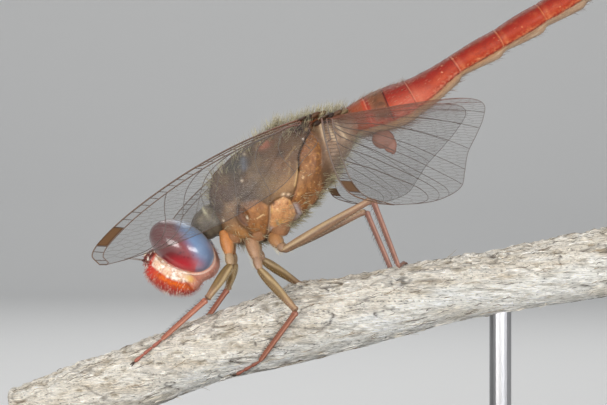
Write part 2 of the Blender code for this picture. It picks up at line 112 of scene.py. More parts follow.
FILM_HALF = 0.006  # half the thickness of the clear film
SPOT_HALF = 0.035  # half the thickness of a wing spot
SPOT_SPAN = (0.83, 0.915)  # where a wing spot starts and ends, as shares of the span
# where each vein leaves the radius and meets the hind margin, and how it bends
FORE_VEINS = (
    (0.64, 1.00, 1.2), (0.47, 0.965, 1.5), (0.30, 0.93, 1.7), (0.17, 0.86, 1.8),
    (0.13, 0.765, 1.65), (0.09, 0.63, 1.4), (0.05, 0.46, 1.15), (0.02, 0.27, 0.95),
)
HIND_VEINS = (
    (0.62, 1.00, 1.2), (0.42, 0.96, 1.5), (0.26, 0.92, 1.7), (0.15, 0.84, 1.8),
    (0.11, 0.73, 1.6), (0.08, 0.57, 1.35), (0.045, 0.40, 1.1), (0.02, 0.26, 0.85),
    (0.01, 0.155, 0.75), (0.004, 0.075, 0.7),
)

BRISTLE_PATCH = 0.003  # size of one bristle's own spot on the OFBake map

# x, y out from the middle, z of coxa, trochanter, knee, heel, toe
LEGS = {
    "leg_fore_left": ((-5.00, 0.60, 19.20), (-4.60, 1.45, 17.05), (-6.05, 2.60, 14.95),
                      (-8.99, 1.50, 12.36), (-10.66, 2.10, 11.05)),
    "leg_fore_right": ((-5.00, 0.60, 19.20), (-4.45, 1.45, 17.05), (-4.95, 2.75, 15.35),
                       (-7.05, 2.28, 12.62), (-8.10, 2.50, 11.20)),
    "leg_mid_left": ((-3.40, 0.80, 18.90), (-2.80, 1.85, 16.80), (-0.42, 3.55, 14.25),
                     (-2.72, 2.25, 10.75), (-4.13, 1.50, 9.70)),
    "leg_mid_right": ((-3.40, 0.80, 18.90), (-2.70, 1.85, 17.30), (-0.15, 3.30, 15.55),
                      (-1.20, 2.85, 12.30), (-2.30, 2.25, 10.90)),
    "leg_hind_left": ((-1.95, 0.90, 18.90), (-1.30, 1.95, 17.95), (4.26, 4.20, 21.22),
                      (6.02, 1.10, 17.05), (6.40, -0.20, 17.35), (6.85, -1.60, 16.85)),
    "leg_hind_right": ((-1.95, 0.90, 18.90), (-1.30, 1.95, 17.95), (4.15, 4.20, 20.45),
                       (5.90, 2.30, 16.30), (6.85, 2.60, 15.20)),
}


# ---- small maths ----
def tone(code):
    """A screen colour such as c23a28 as linear red, green and blue."""
    out = []
    for k in (0, 2, 4):
        c = int(code[k:k + 2], 16) / 255
        out.append(c / 12.92 if c <= 0.04045 else ((c + 0.055) / 1.055) ** 2.4)
    return np.array(out)


def ease(table, t):
    """Hermite reading of a short table at many places; one column out per value."""
    tab = np.array(table, float)
    x = tab[:, 0]
    t = np.clip(np.asarray(t, float), x[0], x[-1])
    i = np.clip(np.searchsorted(x, t, side="right") - 1, 0, len(x) - 2)
    h = x[i + 1] - x[i]
    s = (t - x[i]) / h
    outs = []
    for k in range(1, tab.shape[1]):
        y = tab[:, k]
        slope = np.empty(len(x))
        slope[1:-1] = (y[2:] - y[:-2]) / (x[2:] - x[:-2])
        slope[0] = (y[1] - y[0]) / (x[1] - x[0])
        slope[-1] = (y[-1] - y[-2]) / (x[-1] - x[-2])
        outs.append((2 * s ** 3 - 3 * s ** 2 + 1) * y[i]
                    + (s ** 3 - 2 * s ** 2 + s) * h * slope[i]
                    + (3 * s ** 2 - 2 * s ** 3) * y[i + 1]
                    + (s ** 3 - s ** 2) * h * slope[i + 1])
    return outs


def ramp(x, low, high):
    """A soft step from 0 at low to 1 at high."""
    t = np.clip((x - low) / (high - low), 0.0, 1.0)
    return t * t * (3 - 2 * t)


def bell(*terms):
    """A smooth hump: 1 where every term is 0, and falling away all round."""
    return np.exp(-sum(term ** 2 for term in terms))


def around(n):
    """Angles of n even steps round a ring."""
    return np.linspace(0, 2 * np.pi, n, endpoint=False)


def hash01(i, j, k, seed):
    n = (i * 73856093) ^ (j * 19349663) ^ (k * 83492791) ^ (seed * 2654435761)
    n = (n ^ (n >> 13)) & 0x7FFFFFFF
    n = (n * 1274126177) & 0x7FFFFFFF
    n = (n ^ (n >> 15)) & 0x7FFFFFFF
    return n / float(0x7FFFFFFF)


def lumps(p, size, seed=1):
    """Smooth noise from -1 to 1 over points in mm; size is a lump's width."""
    q = np.asarray(p, float) / size
    i = np.floor(q).astype(np.int64)
    f = q - i
    f = f * f * (3 - 2 * f)
    total = 0.0
    for dx in (0, 1):
        for dy in (0, 1):
            for dz in (0, 1):
                w = (np.where(dx, f[..., 0], 1 - f[..., 0])
                     * np.where(dy, f[..., 1], 1 - f[..., 1])
                     * np.where(dz, f[..., 2], 1 - f[..., 2]))
                total = total + w * hash01(i[..., 0] + dx, i[..., 1] + dy, i[..., 2] + dz, seed)
    return total * 2 - 1


def layered(p, size, layers=3, seed=1):
    """Smooth noise with finer and finer lumps laid over each other."""
    total = 0.0
    gain = 1.0
    norm = 0.0
    for k in range(layers):
        total = total + gain * lumps(p, size / 2 ** k, seed + 17 * k)
        norm += gain
        gain *= 0.55
    return total / norm


def from_path(x, y, points):
    """Distance from each (x, y) to a polyline."""
    best = np.full(np.shape(x), 1e9)
    for (ax, ay), (bx, by) in zip(points, points[1:]):
        dx = bx - ax
        dy = by - ay
        t = np.clip(((x - ax) * dx + (y - ay) * dy) / (dx * dx + dy * dy), 0, 1)
        best = np.minimum(best, np.hypot(x - ax - t * dx, y - ay - t * dy))
    return best


def blend(base, colour, share):
    """Mixes a tone, or a grid of colours, into a base by a share at every point."""
    colour = tone(colour) if isinstance(colour, str) else colour
    return base + (colour - base) * np.asarray(share)[..., None]


class Tints:
    """The colour at every point of a grid, built up in layers from one plain tone."""

    def __init__(self, code, p):
        self.colours = np.broadcast_to(tone(code), p.shape)

    def lay(self, colour, share):
        """Adds a tone, or another grid's colours, with its share at every point."""
        self.colours = blend(self.colours, getattr(colour, "colours", colour), share)


def unit(v):
    """Vectors at a length of 1."""
    return v / np.linalg.norm(v, axis=-1, keepdims=True)


def grid_steps(p):
    """Steps along and round a grid of points whose second index goes round."""
    return np.gradient(p, axis=0), (np.roll(p, -1, axis=1) - np.roll(p, 1, axis=1)) / 2


def grid_normals(p):
    """Unit normals of such a grid."""
    n = np.cross(*grid_steps(p))
    return n / np.maximum(np.linalg.norm(n, axis=-1, keepdims=True), 1e-12)


def body_turn(p):
    """Directions (back, across, up) along the body to the world's."""
    back, across, up = np.moveaxis(p, -1, 0)
    return np.stack([back * BODY_COS - up * BODY_SIN, across,
                     back * BODY_SIN + up * BODY_COS], -1)


def body_to_world(back, across, up):
    """Places in the body's own frame to the world, in mm."""
    return np.stack([BODY_AT[0] + back * BODY_COS - up * BODY_SIN, across,
                     BODY_AT[1] + back * BODY_SIN + up * BODY_COS], -1)


def head_to_world(p):
    """Head frame (forward, across, up) to world, in mm."""
    c = math.cos(HEAD_BOW)
    s = math.sin(HEAD_BOW)
    f, y, u = np.moveaxis(p, -1, 0)
    return np.stack([HEAD_AT[0] - f * c - u * s, y, HEAD_AT[1] - f * s + u * c], -1)


def upright(angle):
    """Up vectors square to a line that climbs by an angle."""
    return np.stack([-np.sin(angle), 0 * angle, np.cos(angle)], -1)


def globe(rows, n):
    """A ball of radius 1 as rings, without its two poles."""
    th = np.linspace(0.0, np.pi, rows + 2)[1:-1, None]
    ph = around(n)
    return np.stack([np.sin(th) * np.cos(ph), np.sin(th) * np.sin(ph), np.cos(th) + 0 * ph], -1)


def globe_across(rows, n, tip):
    """A ball of radius 1 whose poles lie across the head, cut tip radians short of them."""
    th = np.linspace(tip, np.pi - tip, rows)[:, None]
    ph = around(n)
    return np.stack([np.sin(th) * np.cos(ph), np.cos(th) + 0 * ph, np.sin(th) * np.sin(ph)], -1)


def perch_axis(x):
    z, r = ease(PERCH, x)
    z2 = ease(PERCH, np.asarray(x) + 0.05)[0]
    z1 = ease(PERCH, np.asarray(x) - 0.05)[0]
    return z, r, np.arctan2(z2 - z1, 0.1)


# ---- mesh building ----
class Shell:
    """Gathers closed grids, in mm, with a colour at every point, into one mesh."""

    def __init__(self):
        self.points = []
        self.tints = []
        self.marks = []
        self.quads = []
        self.tris = []
        self.count = 0

    def add(self, p, tint, quads, tris, mark=None):
        p = p.reshape(-1, 3)
        tint = np.broadcast_to(tint, (len(p), 3)) if np.ndim(tint) < 2 else tint.reshape(-1, 3)
        if mark is None:
            mark = np.zeros((len(p), 2))
        volume = 0.0
        for faces in (quads, tris):
            if len(faces):
                a = p[faces[:, 0]]
                for k in range(1, faces.shape[1] - 1):
                    volume += np.einsum("ij,ij->", a, np.cross(p[faces[:, k]],
                                                               p[faces[:, k + 1]]))
        if volume < 0:
            quads = quads[:, ::-1]
            tris = tris[:, ::-1]
        self.points.append(p)
        self.tints.append(tint)
        self.marks.append(mark.reshape(-1, 2))
        self.quads.append(quads + self.count)
        self.tris.append(tris + self.count)
        self.count += len(p)

    def tube(self, p, tint):
        """Grid of rings (rows, round, 3), closed at both ends by a fan."""
        rows, n = p.shape[:2]
        i = np.arange(rows - 1)[:, None] * n
        j = np.arange(n)[None, :]
        a = i + j
        b = i + (j + 1) % n
        quads = np.stack([a, b, b + n, a + n], -1).reshape(-1, 4)
        tints = np.broadcast_to(tint, p.shape).reshape(-1, 3)
        hub = rows * n
        k = np.arange(n)
        last = hub - n
        tris = np.concatenate([
            np.stack([np.full(n, hub), (k + 1) % n, k], -1),
            np.stack([np.full(n, hub + 1), last + k, last + (k + 1) % n], -1)])
        self.add(np.concatenate([p.reshape(-1, 3), [p[0].mean(0), p[-1].mean(0)]]),
                 np.concatenate([tints, [tints[0], tints[-1]]]), quads, tris)

    def plate(self, top, under, tint, mark=None):
        """Closed plate from two matching open grids (rows, cols, 3)."""
        rows, n = top.shape[:2]
        size = rows * n
        i = np.arange(rows - 1)[:, None] * n
        j = np.arange(n - 1)[None, :]
        a = (i + j).reshape(-1)
        up = np.stack([a, a + 1, a + 1 + n, a + n], -1)
        down = up[:, ::-1] + size
        rim = np.concatenate([np.arange(n), np.arange(1, rows) * n + n - 1,
                              (rows - 1) * n + np.arange(n - 2, -1, -1),
                              np.arange(rows - 2, 0, -1) * n])
        nxt = np.roll(rim, -1)
        side = np.stack([nxt, rim, rim + size, nxt + size], -1)
        both = np.concatenate([top.reshape(-1, 3), under.reshape(-1, 3)])
        if np.ndim(tint) > 1:
            tint = np.concatenate([tint.reshape(-1, 3), tint.reshape(-1, 3)])
        if mark is not None:
            mark = np.concatenate([mark.reshape(-1, 2), mark.reshape(-1, 2)])
        self.add(both, tint, np.concatenate([up, down, side]), np.zeros((0, 3), int), mark)

    def object(self, name):
        """The gathered grids as one smooth mesh object, with its Tint and Mark values."""
        quads = np.concatenate(self.quads)
        tris = np.concatenate(self.tris)
        mesh = mesh_of_points(name, np.concatenate(self.points))
        loops = np.concatenate([quads.ravel(), tris.ravel()])
        mesh.loops.add(len(loops))
        mesh.loops.foreach_set("vertex_index", loops.astype(np.int32))
        sizes = np.concatenate([np.full(len(quads), 4), np.full(len(tris), 3)])
        starts = np.concatenate([[0], np.cumsum(sizes)[:-1]])
        mesh.polygons.add(len(sizes))
        mesh.polygons.foreach_set("loop_start", starts.astype(np.int32))
        mesh.update(calc_edges=True)
        mesh.validate()
        set_values(mesh, "Tint", "FLOAT_COLOR", np.concatenate(self.tints))
        set_values(mesh, "Mark", "FLOAT2", np.concatenate(self.marks))
        return placed(name, mesh)


def mesh_of_points(name, p):
    """A mesh of loose points, given in mm."""
    mesh = bpy.data.meshes.new(name)
    mesh.vertices.add(len(p))
    mesh.vertices.foreach_set("co", (p * MM).astype(np.float32).ravel())
    return mesh


def set_values(mesh, key, kind, data):
    """A named value at every point of a mesh; colours get an alpha of 1."""
    if kind == "FLOAT_COLOR":
        data = np.column_stack([data, np.ones(len(data))])
    field = {"FLOAT": "value", "FLOAT_COLOR": "color"}.get(kind, "vector")
    layer = mesh.attributes.new(key, kind, "POINT")
    layer.data.foreach_set(field, np.ascontiguousarray(data, np.float32).ravel())


def placed(name, data):
    """A mesh, made smooth, or a lamp or camera, as an object in the scene."""
    if isinstance(data, bpy.types.Mesh):
        data.polygons.foreach_set("use_smooth", np.ones(len(data.polygons), bool))
    obj = bpy.data.objects.new(name, data)
    bpy.context.scene.collection.objects.link(obj)
    return obj


def ring_frames(path):
    """Side and up vectors carried along a path of points without twist."""
    d = unit(np.gradient(path, axis=0))
    ref = np.array((0.0, 1.0, 0.0)) if abs(d[0][1]) < 0.9 else np.array((1.0, 0.0, 0.0))
    sides = []
    side = ref - d[0] * (ref @ d[0])
    for t in d:
        side = unit(side - t * (side @ t))
        sides.append(side)
    sides = np.array(sides)
    return sides, np.cross(d, sides)


def limb(shell, a, b, profile, n_round, n_long, tint, squash=1.0, shade=None):
    """One closed leg or feeler segment: a spindle from a to b with a radius profile."""
    a = np.asarray(a, float)
    b = np.asarray(b, float)
    t = (1 - np.cos(np.linspace(0, np.pi, n_long))) / 2
    r = ease(profile, t)[0]
    cap = np.sqrt(np.clip(1 - (1 - np.clip(t / 0.04, 0, 1)) ** 2, 0.02, 1))
    cap *= np.sqrt(np.clip(1 - (1 - np.clip((1 - t) / 0.04, 0, 1)) ** 2, 0.02, 1))
    path = a + (b - a) * t[:, None]
    side, up = ring_frames(path)
    ang = around(n_round)
    ring = (np.cos(ang)[None, :, None] * side[:, None, :] * squash
            + np.sin(ang)[None, :, None] * up[:, None, :])
    p = path[:, None, :] + ring * (r * cap)[:, None, None]
    base = tint * (1 + 0.18 * layered(p, 0.35, 2, 5))[..., None]
    if shade is not None:
        base = shade(base, t[:, None], np.sin(ang)[None, :])
    shell.tube(p, base)


def ball(shell, centre, axes, tint, rows, n):
    """One closed ellipsoid round a centre."""
    shell.tube(globe(rows, n) * axes + np.asarray(centre, float), tint)


# ---- materials ----
class Nodes:
    """Lays nodes in a tree, in columns, and joins them."""

    def __init__(self, tree):
        self.tree = tree
        self.place = 0

    def node(self, kind, *joins, **values):
        """A new node with its values; each join is its input, a source and the output."""
        n = self.tree.nodes.new(kind)
        self.place += 1
        n.location = (-220 * (1 + self.place % 6), 300 - 160 * (self.place // 6))
        for key, value in values.items():
            if hasattr(n, key):
                setattr(n, key, value)
            else:
                n.inputs[key.replace("_", " ")].default_value = value
        for inp, source, out in joins:
            self.join(source, out, n, inp)
        return n

    def join(self, a, out, b, inp):
        self.tree.links.new(a.outputs[out], b.inputs[inp])


class Paint(Nodes):
    """A material, with the kinds of freckle, relief and gloss that the pieces share."""

    def __init__(self, name):
        self.mat = bpy.data.materials.new(name)
        self.mat.use_nodes = True
        super().__init__(self.mat.node_tree)
        self.shader = self.tree.nodes["Principled BSDF"]

    def set(self, **values):
        for key, value in values.items():
            self.shader.inputs[key.replace("_", " ")].default_value = value
        return self

    def noise(self, scale, detail=2.0, rough=0.55, stretch=None):
        """Noise on object coordinates, squeezed first where a stretch is given."""
        at = ("Vector", self.node("ShaderNodeTexCoord"), "Object")
        if stretch is not None:
            at = ("Vector", self.node("ShaderNodeMapping", at, Scale=stretch), "Vector")
        return self.node("ShaderNodeTexNoise", at, Scale=scale, Detail=detail, Roughness=rough)

    def spread(self, source, out, low, high, start=0.3, stop=0.7):
        """Values from start to stop spread over low to high."""
        return self.node("ShaderNodeMapRange", ("Value", source, out), From_Min=start,
                         From_Max=stop, To_Min=low, To_Max=high)

    def scaled_tint(self, level, out):
        """Base colour from the Tint attribute, times a level."""
        tint = self.node("ShaderNodeAttribute", attribute_name="Tint")
        mix = self.node("ShaderNodeVectorMath", (0, tint, "Color"), ("Scale", level, out),
                        operation="SCALE")
        self.join(mix, "Vector", self.shader, "Base Color")
        return self

    def tinted(self, scale, speck):
        """Base colour from the Tint attribute, freckled by fine noise."""
        freckle = self.spread(self.noise(scale, 4.0), "Fac", 1 - speck, 1 + speck)
        return self.scaled_tint(freckle, "Result")

    def bumps(self, scale, strength, distance, cells=False):
        """Fine relief of noise, or of round cells."""
        if cells:
            at = ("Vector", self.node("ShaderNodeTexCoord"), "Object")
            relief = self.node("ShaderNodeTexVoronoi", at, Scale=scale)
        else:
            relief = self.noise(scale, 3.0, 0.5)
        return self.raised(relief, "Distance" if cells else "Fac", strength, distance)

    def raised(self, relief, out, strength, distance):
        b = self.node("ShaderNodeBump", ("Height", relief, out), Strength=strength,
                      Distance=distance)
        self.join(b, "Normal", self.shader, "Normal")
        return self

    def uneven_gloss(self, scale, low, high):
        gloss = self.spread(self.noise(scale), "Fac", low, high)
        self.join(gloss, "Result", self.shader, "Roughness")
        return self


def finish_piece(obj, material, slot, *nodes):
    """Gives a piece its material and body, and hides the parts that it stands for; slot is not
    used.
    """
    obj.data.materials.clear()
    obj.data.materials.append(material)
    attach(obj, "root")
    if nodes:
        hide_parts(*nodes)


# ---- bristles and veins by Geometry Nodes ----
class Growth(Nodes):
    """A geometry node group with named inputs, which ends in real mesh and its material."""

    def __init__(self, name, **inputs):
        super().__init__(bpy.data.node_groups.new(name, "GeometryNodeTree"))
        face = self.tree.interface
        face.new_socket("Geometry", in_out="INPUT", socket_type="NodeSocketGeometry")
        for key, value in inputs.items():
            socket = face.new_socket(key, in_out="INPUT", socket_type="NodeSocketFloat")
            socket.default_value = value
        face.new_socket("Geometry", in_out="OUTPUT", socket_type="NodeSocketGeometry")
        self.given = self.node("NodeGroupInput")

    def times(self, *joins):
        return self.node("ShaderNodeMath", *joins, operation="MULTIPLY")

    def named(self, key, kind="FLOAT_VECTOR"):
        return self.node("GeometryNodeInputNamedAttribute", data_type=kind, Name=key)

    def keep(self, grown, value, key, **kind):
        return self.node("GeometryNodeStoreNamedAttribute", ("Geometry", grown, 0),
                         ("Value", value, 0), Name=key, **kind)

    def real(self, grown):
        return self.node("GeometryNodeRealizeInstances", ("Geometry", grown, 0))

    def dressed(self, grown, material):
        """Ends the tree with the material, and gives the tree."""
        skin = self.node("GeometryNodeSetMaterial", ("Geometry", grown, 0), Material=material)
        self.node("NodeGroupOutput", (0, skin, 0))
        return self.tree


def bristle_tree(material, sides):
    """Points with aim, lie, size and root place become bent tapered bristles."""
    net = Growth("Bristle coat", Bend=0.25, Patch=BRISTLE_PATCH)
    cone = net.node("GeometryNodeMeshCone", Vertices=sides, Side_Segments=3, Radius_Top=0.08,
                    Radius_Bottom=1.0, Depth=1.0)
    split = net.node("ShaderNodeSeparateXYZ", (0, net.node("GeometryNodeInputPosition"), 0))
    square = net.times((0, split, "Z"), (1, split, "Z"))
    lean = net.times((0, square, 0), (1, net.given, "Bend"))
    shift = net.node("ShaderNodeCombineXYZ", ("X", lean, 0))
    bent = net.node("GeometryNodeSetPosition", ("Geometry", cone, "Mesh"), ("Offset", shift, 0))
    local = net.node("ShaderNodeCombineXYZ", ("X", split, "Y"), ("Y", split, "Z"))
    bristle = net.keep(bent, local, "local", data_type="FLOAT_VECTOR")
    turn = net.node("FunctionNodeAxesToRotation", (0, net.named("aim"), "Attribute"),
                    (1, net.named("lie"), "Attribute"), primary_axis="Z", secondary_axis="X")
    points = net.node("GeometryNodeMeshToPoints", ("Mesh", net.given, "Geometry"))
    spread = net.node("GeometryNodeInstanceOnPoints", ("Points", points, 0),
                      ("Instance", bristle, 0), ("Rotation", turn, 0),
                      ("Scale", net.named("size"), "Attribute"))
    within_patch = net.node("ShaderNodeVectorMath", (0, net.named("local"), "Attribute"),
                            ("Scale", net.given, "Patch"), operation="SCALE")
    chart = net.node("ShaderNodeVectorMath", (0, net.named("rootplace"), "Attribute"),
                     (1, within_patch, 0), operation="ADD")
    mapped = net.keep(net.real(spread), chart, "OFBake", data_type="FLOAT2", domain="CORNER")
    return net.dressed(mapped, material)


def threads_tree(material):
    """Edges with a thickness become round threads, such as the veins of a wing."""
    net = Growth("Vein threads", Thickness=1.0)
    wires = net.node("GeometryNodeMeshToCurve", ("Mesh", net.given, "Geometry"))
    girth = net.times((0, net.named("thick", "FLOAT"), "Attribute"), (1, net.given, "Thickness"))
    ring = net.node("GeometryNodeCurvePrimitiveCircle", Resolution=5, Radius=1.0)
    skin = net.node("GeometryNodeCurveToMesh", ("Curve", wires, 0), ("Profile Curve", ring, 0),
                    ("Scale", girth, 0), Fill_Caps=True)
    return net.dressed(net.real(skin), material)


def grow(name, mesh, tree, inputs, spent, material, slot):
    """Runs a tree on a mesh of points or edges and keeps what it grows as a plain piece."""
    seed = placed(name + " seed", mesh)
    mod = seed.modifiers.new("Growth", "NODES")
    mod.node_group = tree
    for item in tree.interface.items_tree:
        if item.in_out == "INPUT" and item.name in inputs:
            mod[item.identifier] = float(inputs[item.name])
    view = bpy.context.evaluated_depsgraph_get()
    made = bpy.data.meshes.new_from_object(seed.evaluated_get(view), depsgraph=view)
    made.name = name
    seed.modifiers.remove(mod)
    bpy.data.objects.remove(seed)
    for key in spent:
        if key in made.attributes:
            made.attributes.remove(made.attributes[key])
    finish_piece(placed(name, made), material, slot)


def grow_bristles(name, roots, aims, lengths, girths, places, tints, material, slot, bend,
                  sides=3):
    """Make a coat piece of bristles from arrays of roots and directions, in mm."""
    mesh = mesh_of_points(name + " roots", roots)
    aims = unit(aims)
    lie = np.tile((0.84, 0.0, 0.54), (len(roots), 1))
    lie = lie - aims * np.sum(lie * aims, axis=1, keepdims=True)
    for key, data in (("aim", aims), ("lie", lie),
                      ("size", np.stack([girths, girths, lengths], 1) * MM),
                      ("rootplace", np.column_stack([places, np.zeros(len(roots))]))):
        set_values(mesh, key, "FLOAT_VECTOR", data)
    set_values(mesh, "Tint", "FLOAT_COLOR", tints)
    # the cone's x is in units of its girth, so the bend is scaled to the length
    inputs = {"Bend": bend * float(np.mean(lengths) / np.mean(girths)), "Patch": BRISTLE_PATCH}
    grow(name, mesh, bristle_tree(material, sides), inputs,
         ("aim", "lie", "size", "rootplace", "local"), material, slot)


def spin_threads(name, points, edges, thick, tints, material, slot, gain=1.0):
    """Make a piece of round threads from points, edges, half thicknesses and colours."""
    mesh = mesh_of_points(name + " lines", points)
    mesh.edges.add(len(edges))
    mesh.edges.foreach_set("vertices", edges.astype(np.int32).ravel())
    mesh.update()
    set_values(mesh, "thick", "FLOAT", thick * MM)
    set_values(mesh, "Tint", "FLOAT_COLOR", tints)
    grow(name, mesh, threads_tree(material), {"Thickness": gain}, ("thick",), material, slot)


# ---- thorax ----
# paths and outlines on the side of the thorax: back along the axis, up
SLIT = ((4.03, 1.51), (3.57, 1.27), (3.29, 1.07), (2.88, 0.80), (2.53, 0.49), (2.25, 0.06),
        (2.04, -0.26))
SLIT_FOOT = ((2.04, -0.26), (1.67, -0.71), (1.22, -1.17), (0.62, -1.62))
REAR_PANEL = ((4.06, 1.33), (4.07, 0.64), (3.95, 0.10), (3.43, -0.70), (3.08, -1.24),
              (2.79, -1.81), (2.83, -2.22), (2.32, -2.60), (1.57, -2.85), (0.81, -2.75),
              (0.66, -2.03), (0.62, -1.62), (1.22, -1.17), (1.67, -0.71), (2.04, -0.26),
              (2.25, 0.06), (2.53, 0.49), (2.88, 0.80), (3.29, 1.07), (3.57, 1.27))
LOW_PANEL = ((-0.68, -1.16), (-0.33, -1.08), (0.33, -1.13), (0.62, -1.62), (0.54, -2.10),
             (0.44, -2.50), (-0.36, -2.86), (-0.82, -2.86), (-1.40, -2.52), (-1.36, -2.09),
             (-1.03, -1.70))
HIP_PANEL = ((-1.42, -2.56), (-0.82, -2.94), (-0.30, -2.96), (-0.50, -3.60), (-2.10, -3.60),
             (-1.89, -2.67))
PIT_PANEL = ((-2.10, 0.07), (-1.10, -0.40), (-0.78, -1.10), (-1.12, -1.68), (-1.46, -2.08),
             (-1.95, -2.50), (-2.55, -2.10), (-2.65, -1.49), (-2.83, -1.06), (-2.78, -0.63),
             (-2.54, -0.26))
FRONT_PANEL = ((-2.20, 0.30), (-2.68, -0.26), (-2.95, -0.63), (-3.00, -1.10), (-2.80, -1.60),
               (-2.75, -2.20), (-3.60, -2.00), (-4.05, -1.20), (-3.90, -0.20), (-3.00, 0.60))
UPRIGHT_SEAM = ((-0.68, -1.16), (-1.03, -1.70), (-1.36, -2.09), (-1.70, -2.49), (-1.89, -2.67))
LEVEL_SEAM = ((-0.68, -1.16), (-0.33, -1.08), (0.00, -1.06), (0.33, -1.13), (0.84, -1.16))
SHOULDER_SEAM = ((2.72, 2.43), (1.67, 1.50), (0.20, 0.75), (-1.20, 0.10), (-2.10, 0.07))
SECOND_SEAM = ((2.63, 1.12), (1.60, 0.71), (0.60, -0.10), (-0.30, -0.70), (-0.68, -1.16))
FRONT_SEAM = ((-0.20, 2.60), (-0.75, 1.79), (-1.03, 1.36), (-2.00, 0.60), (-3.00, 0.60))
PALE_RIDGES = (((1.84, 0.49), (1.59, 0.11), (1.30, -0.23)),
               ((2.27, 0.21), (1.79, -0.40), (1.30, -0.92)),
               ((2.63, 1.12), (1.60, 0.71)), ((2.33, 1.01), (1.43, 0.68)))
FAN_RIDGES = (((5.20, 1.66), (5.10, 1.04), (5.02, 0.10)),
              ((5.57, 1.42), (5.63, 0.69), (5.63, -0.14)),
              ((4.85, 1.60), (4.65, 1.05), (4.50, 0.40)))


def within(x, y, corners):
    """Distance to a closed outline, above zero inside it and below zero outside."""
    odd = np.zeros(np.shape(x), bool)
    for (ax, ay), (bx, by) in zip(corners, corners[1:] + corners[:1]):
        if ay != by:
            odd ^= ((ay > y) != (by > y)) & (x < ax + (y - ay) * (bx - ax) / (by - ay))
    away = from_path(x, y, corners + corners[:1])
    return np.where(odd, away, -away)


def thorax_grid(rows=230, cols=310):
    """Body-frame grid of the thorax with its plates, seams, pit and wing hinges."""
    a = np.linspace(THORAX[0][0], THORAX[-1][0], rows)
    top, bottom, wide = ease(THORAX, a)
    ang = around(cols)
    c = np.cos(ang)[None, :]
    s = np.sin(ang)[None, :]
    sq = 2 / 2.4
    y = wide[:, None] * np.sign(c) * np.abs(c) ** sq
    middle = ((top + bottom) / 2)[:, None]
    half = np.maximum((top - bottom) / 2, 0.05)[:, None]
    u = middle + half * np.sign(s) * np.abs(s) ** sq
    # the back is pinched in towards the wing hinges, the breast towards the hips
    level = (u - middle) / half
    y = y * (1 - 0.16 * ramp(level, 0.35, 1.0) - 0.14 * ramp(-level, 0.45, 1.0))
    back = np.broadcast_to(a[:, None], y.shape)
    p = np.stack([back, y, u], -1)
    n = grid_normals(p)
    if n[rows // 2, 0, 1] < 0:
        n = -n
    side = ramp(np.abs(n[..., 1]), 0.12, 0.45)
    d = np.zeros(y.shape)
    seams = np.zeros(y.shape)
    for path, depth, width in ((SLIT, 0.20, 0.050), (SLIT_FOOT, 0.06, 0.05),
                               (UPRIGHT_SEAM, 0.07, 0.045), (LEVEL_SEAM, 0.06, 0.045),
                               (SHOULDER_SEAM, 0.07, 0.08), (SECOND_SEAM, 0.06, 0.07),
                               (FRONT_SEAM, 0.05, 0.08)):
        cut = bell(from_path(back, u, path) / width) * side
        d -= depth * cut
        seams = np.maximum(seams, cut * min(1.0, depth * 8))
    # each plate swells a little inside its own rim
    for outline, swell in ((REAR_PANEL, 0.12), (LOW_PANEL, 0.15), (HIP_PANEL, 0.16),
                           (PIT_PANEL, 0.06), (FRONT_PANEL, 0.10)):
        deep = within(back, u, outline)
        d += swell * (ramp(deep, 0.0, 0.45) - 0.35 * bell(deep / 0.06)) * side
    for path in PALE_RIDGES + FAN_RIDGES:
        d += 0.07 * bell(from_path(back, u, path) / 0.09) * side
    pit = np.hypot((back + 2.42) / 0.30, (u + 0.74 - 0.25 * (back + 2.42)) / 0.56)
    d -= 0.24 * np.exp(-pit ** 4) * side
    d += 0.06 * bell((pit - 1.35) / 0.25) * side
    d += 0.05 * bell((back + 2.33) / 0.10, (u + 0.95) / 0.22) * side
    # wing hinges: small knobs and hollows along the upper edge of the side
    for ca, cu, ra, ru, h in ((3.0, 2.05, 0.35, 0.25, 0.20), (3.6, 2.1, 0.25, 0.3, -0.16),
                              (3.81, 1.65, 0.17, 0.17, 0.16), (4.15, 1.95, 0.3, 0.25, 0.20),
                              (4.7, 1.65, 0.3, 0.25, 0.18), (5.2, 1.4, 0.25, 0.25, -0.12),
                              (5.6, 1.15, 0.3, 0.3, 0.14), (2.4, 2.35, 0.4, 0.25, -0.10)):
        d += h * bell((back - ca) / ra, (u - cu) / ru) * ramp(np.abs(y), 0.4, 0.9)
    # back: a keel in front, then the two humps between the wings
    crest = bell(y / 0.12) * (u > 0)
    d += 0.10 * crest * ramp(back, -3.6, -2.4) * (1 - ramp(back, 1.0, 1.6))
    for ca, ra, h in ((2.3, 0.55, 0.14), (3.45, 0.30, 0.12), (4.6, 0.5, 0.14), (5.5, 0.3, 0.10)):
        d += h * bell((back - ca) / ra, y / 0.65) * (u > 0)
    d -= 0.08 * bell((back - 1.55) / 0.12) * ramp(u, 1.6, 2.2)
    d -= 0.07 * bell((back - 3.95) / 0.12) * ramp(u, 1.6, 2.2)
    d += 0.030 * layered(p, 0.9, 3, 3) + 0.022 * layered(p, 0.30, 3, 9)
    d += 0.020 * layered(body_streaks(p), 0.16, 2, 10) * side + 0.008 * lumps(p, 0.10, 11)
    ends = ramp(back, -4.2, -3.9) * (1 - ramp(back, 6.5, 6.8))
    p = p + n * (d * ends)[..., None]
    return p, n, dict(back=back, up=u, across=y, side=side, seams=seams, pit=pit, level=level)


def body_streaks(p):
    """Places squeezed along the upright so that noise read there comes out streaky."""
    return body_turn(p) * np.array((1, 0.6, 0.28))


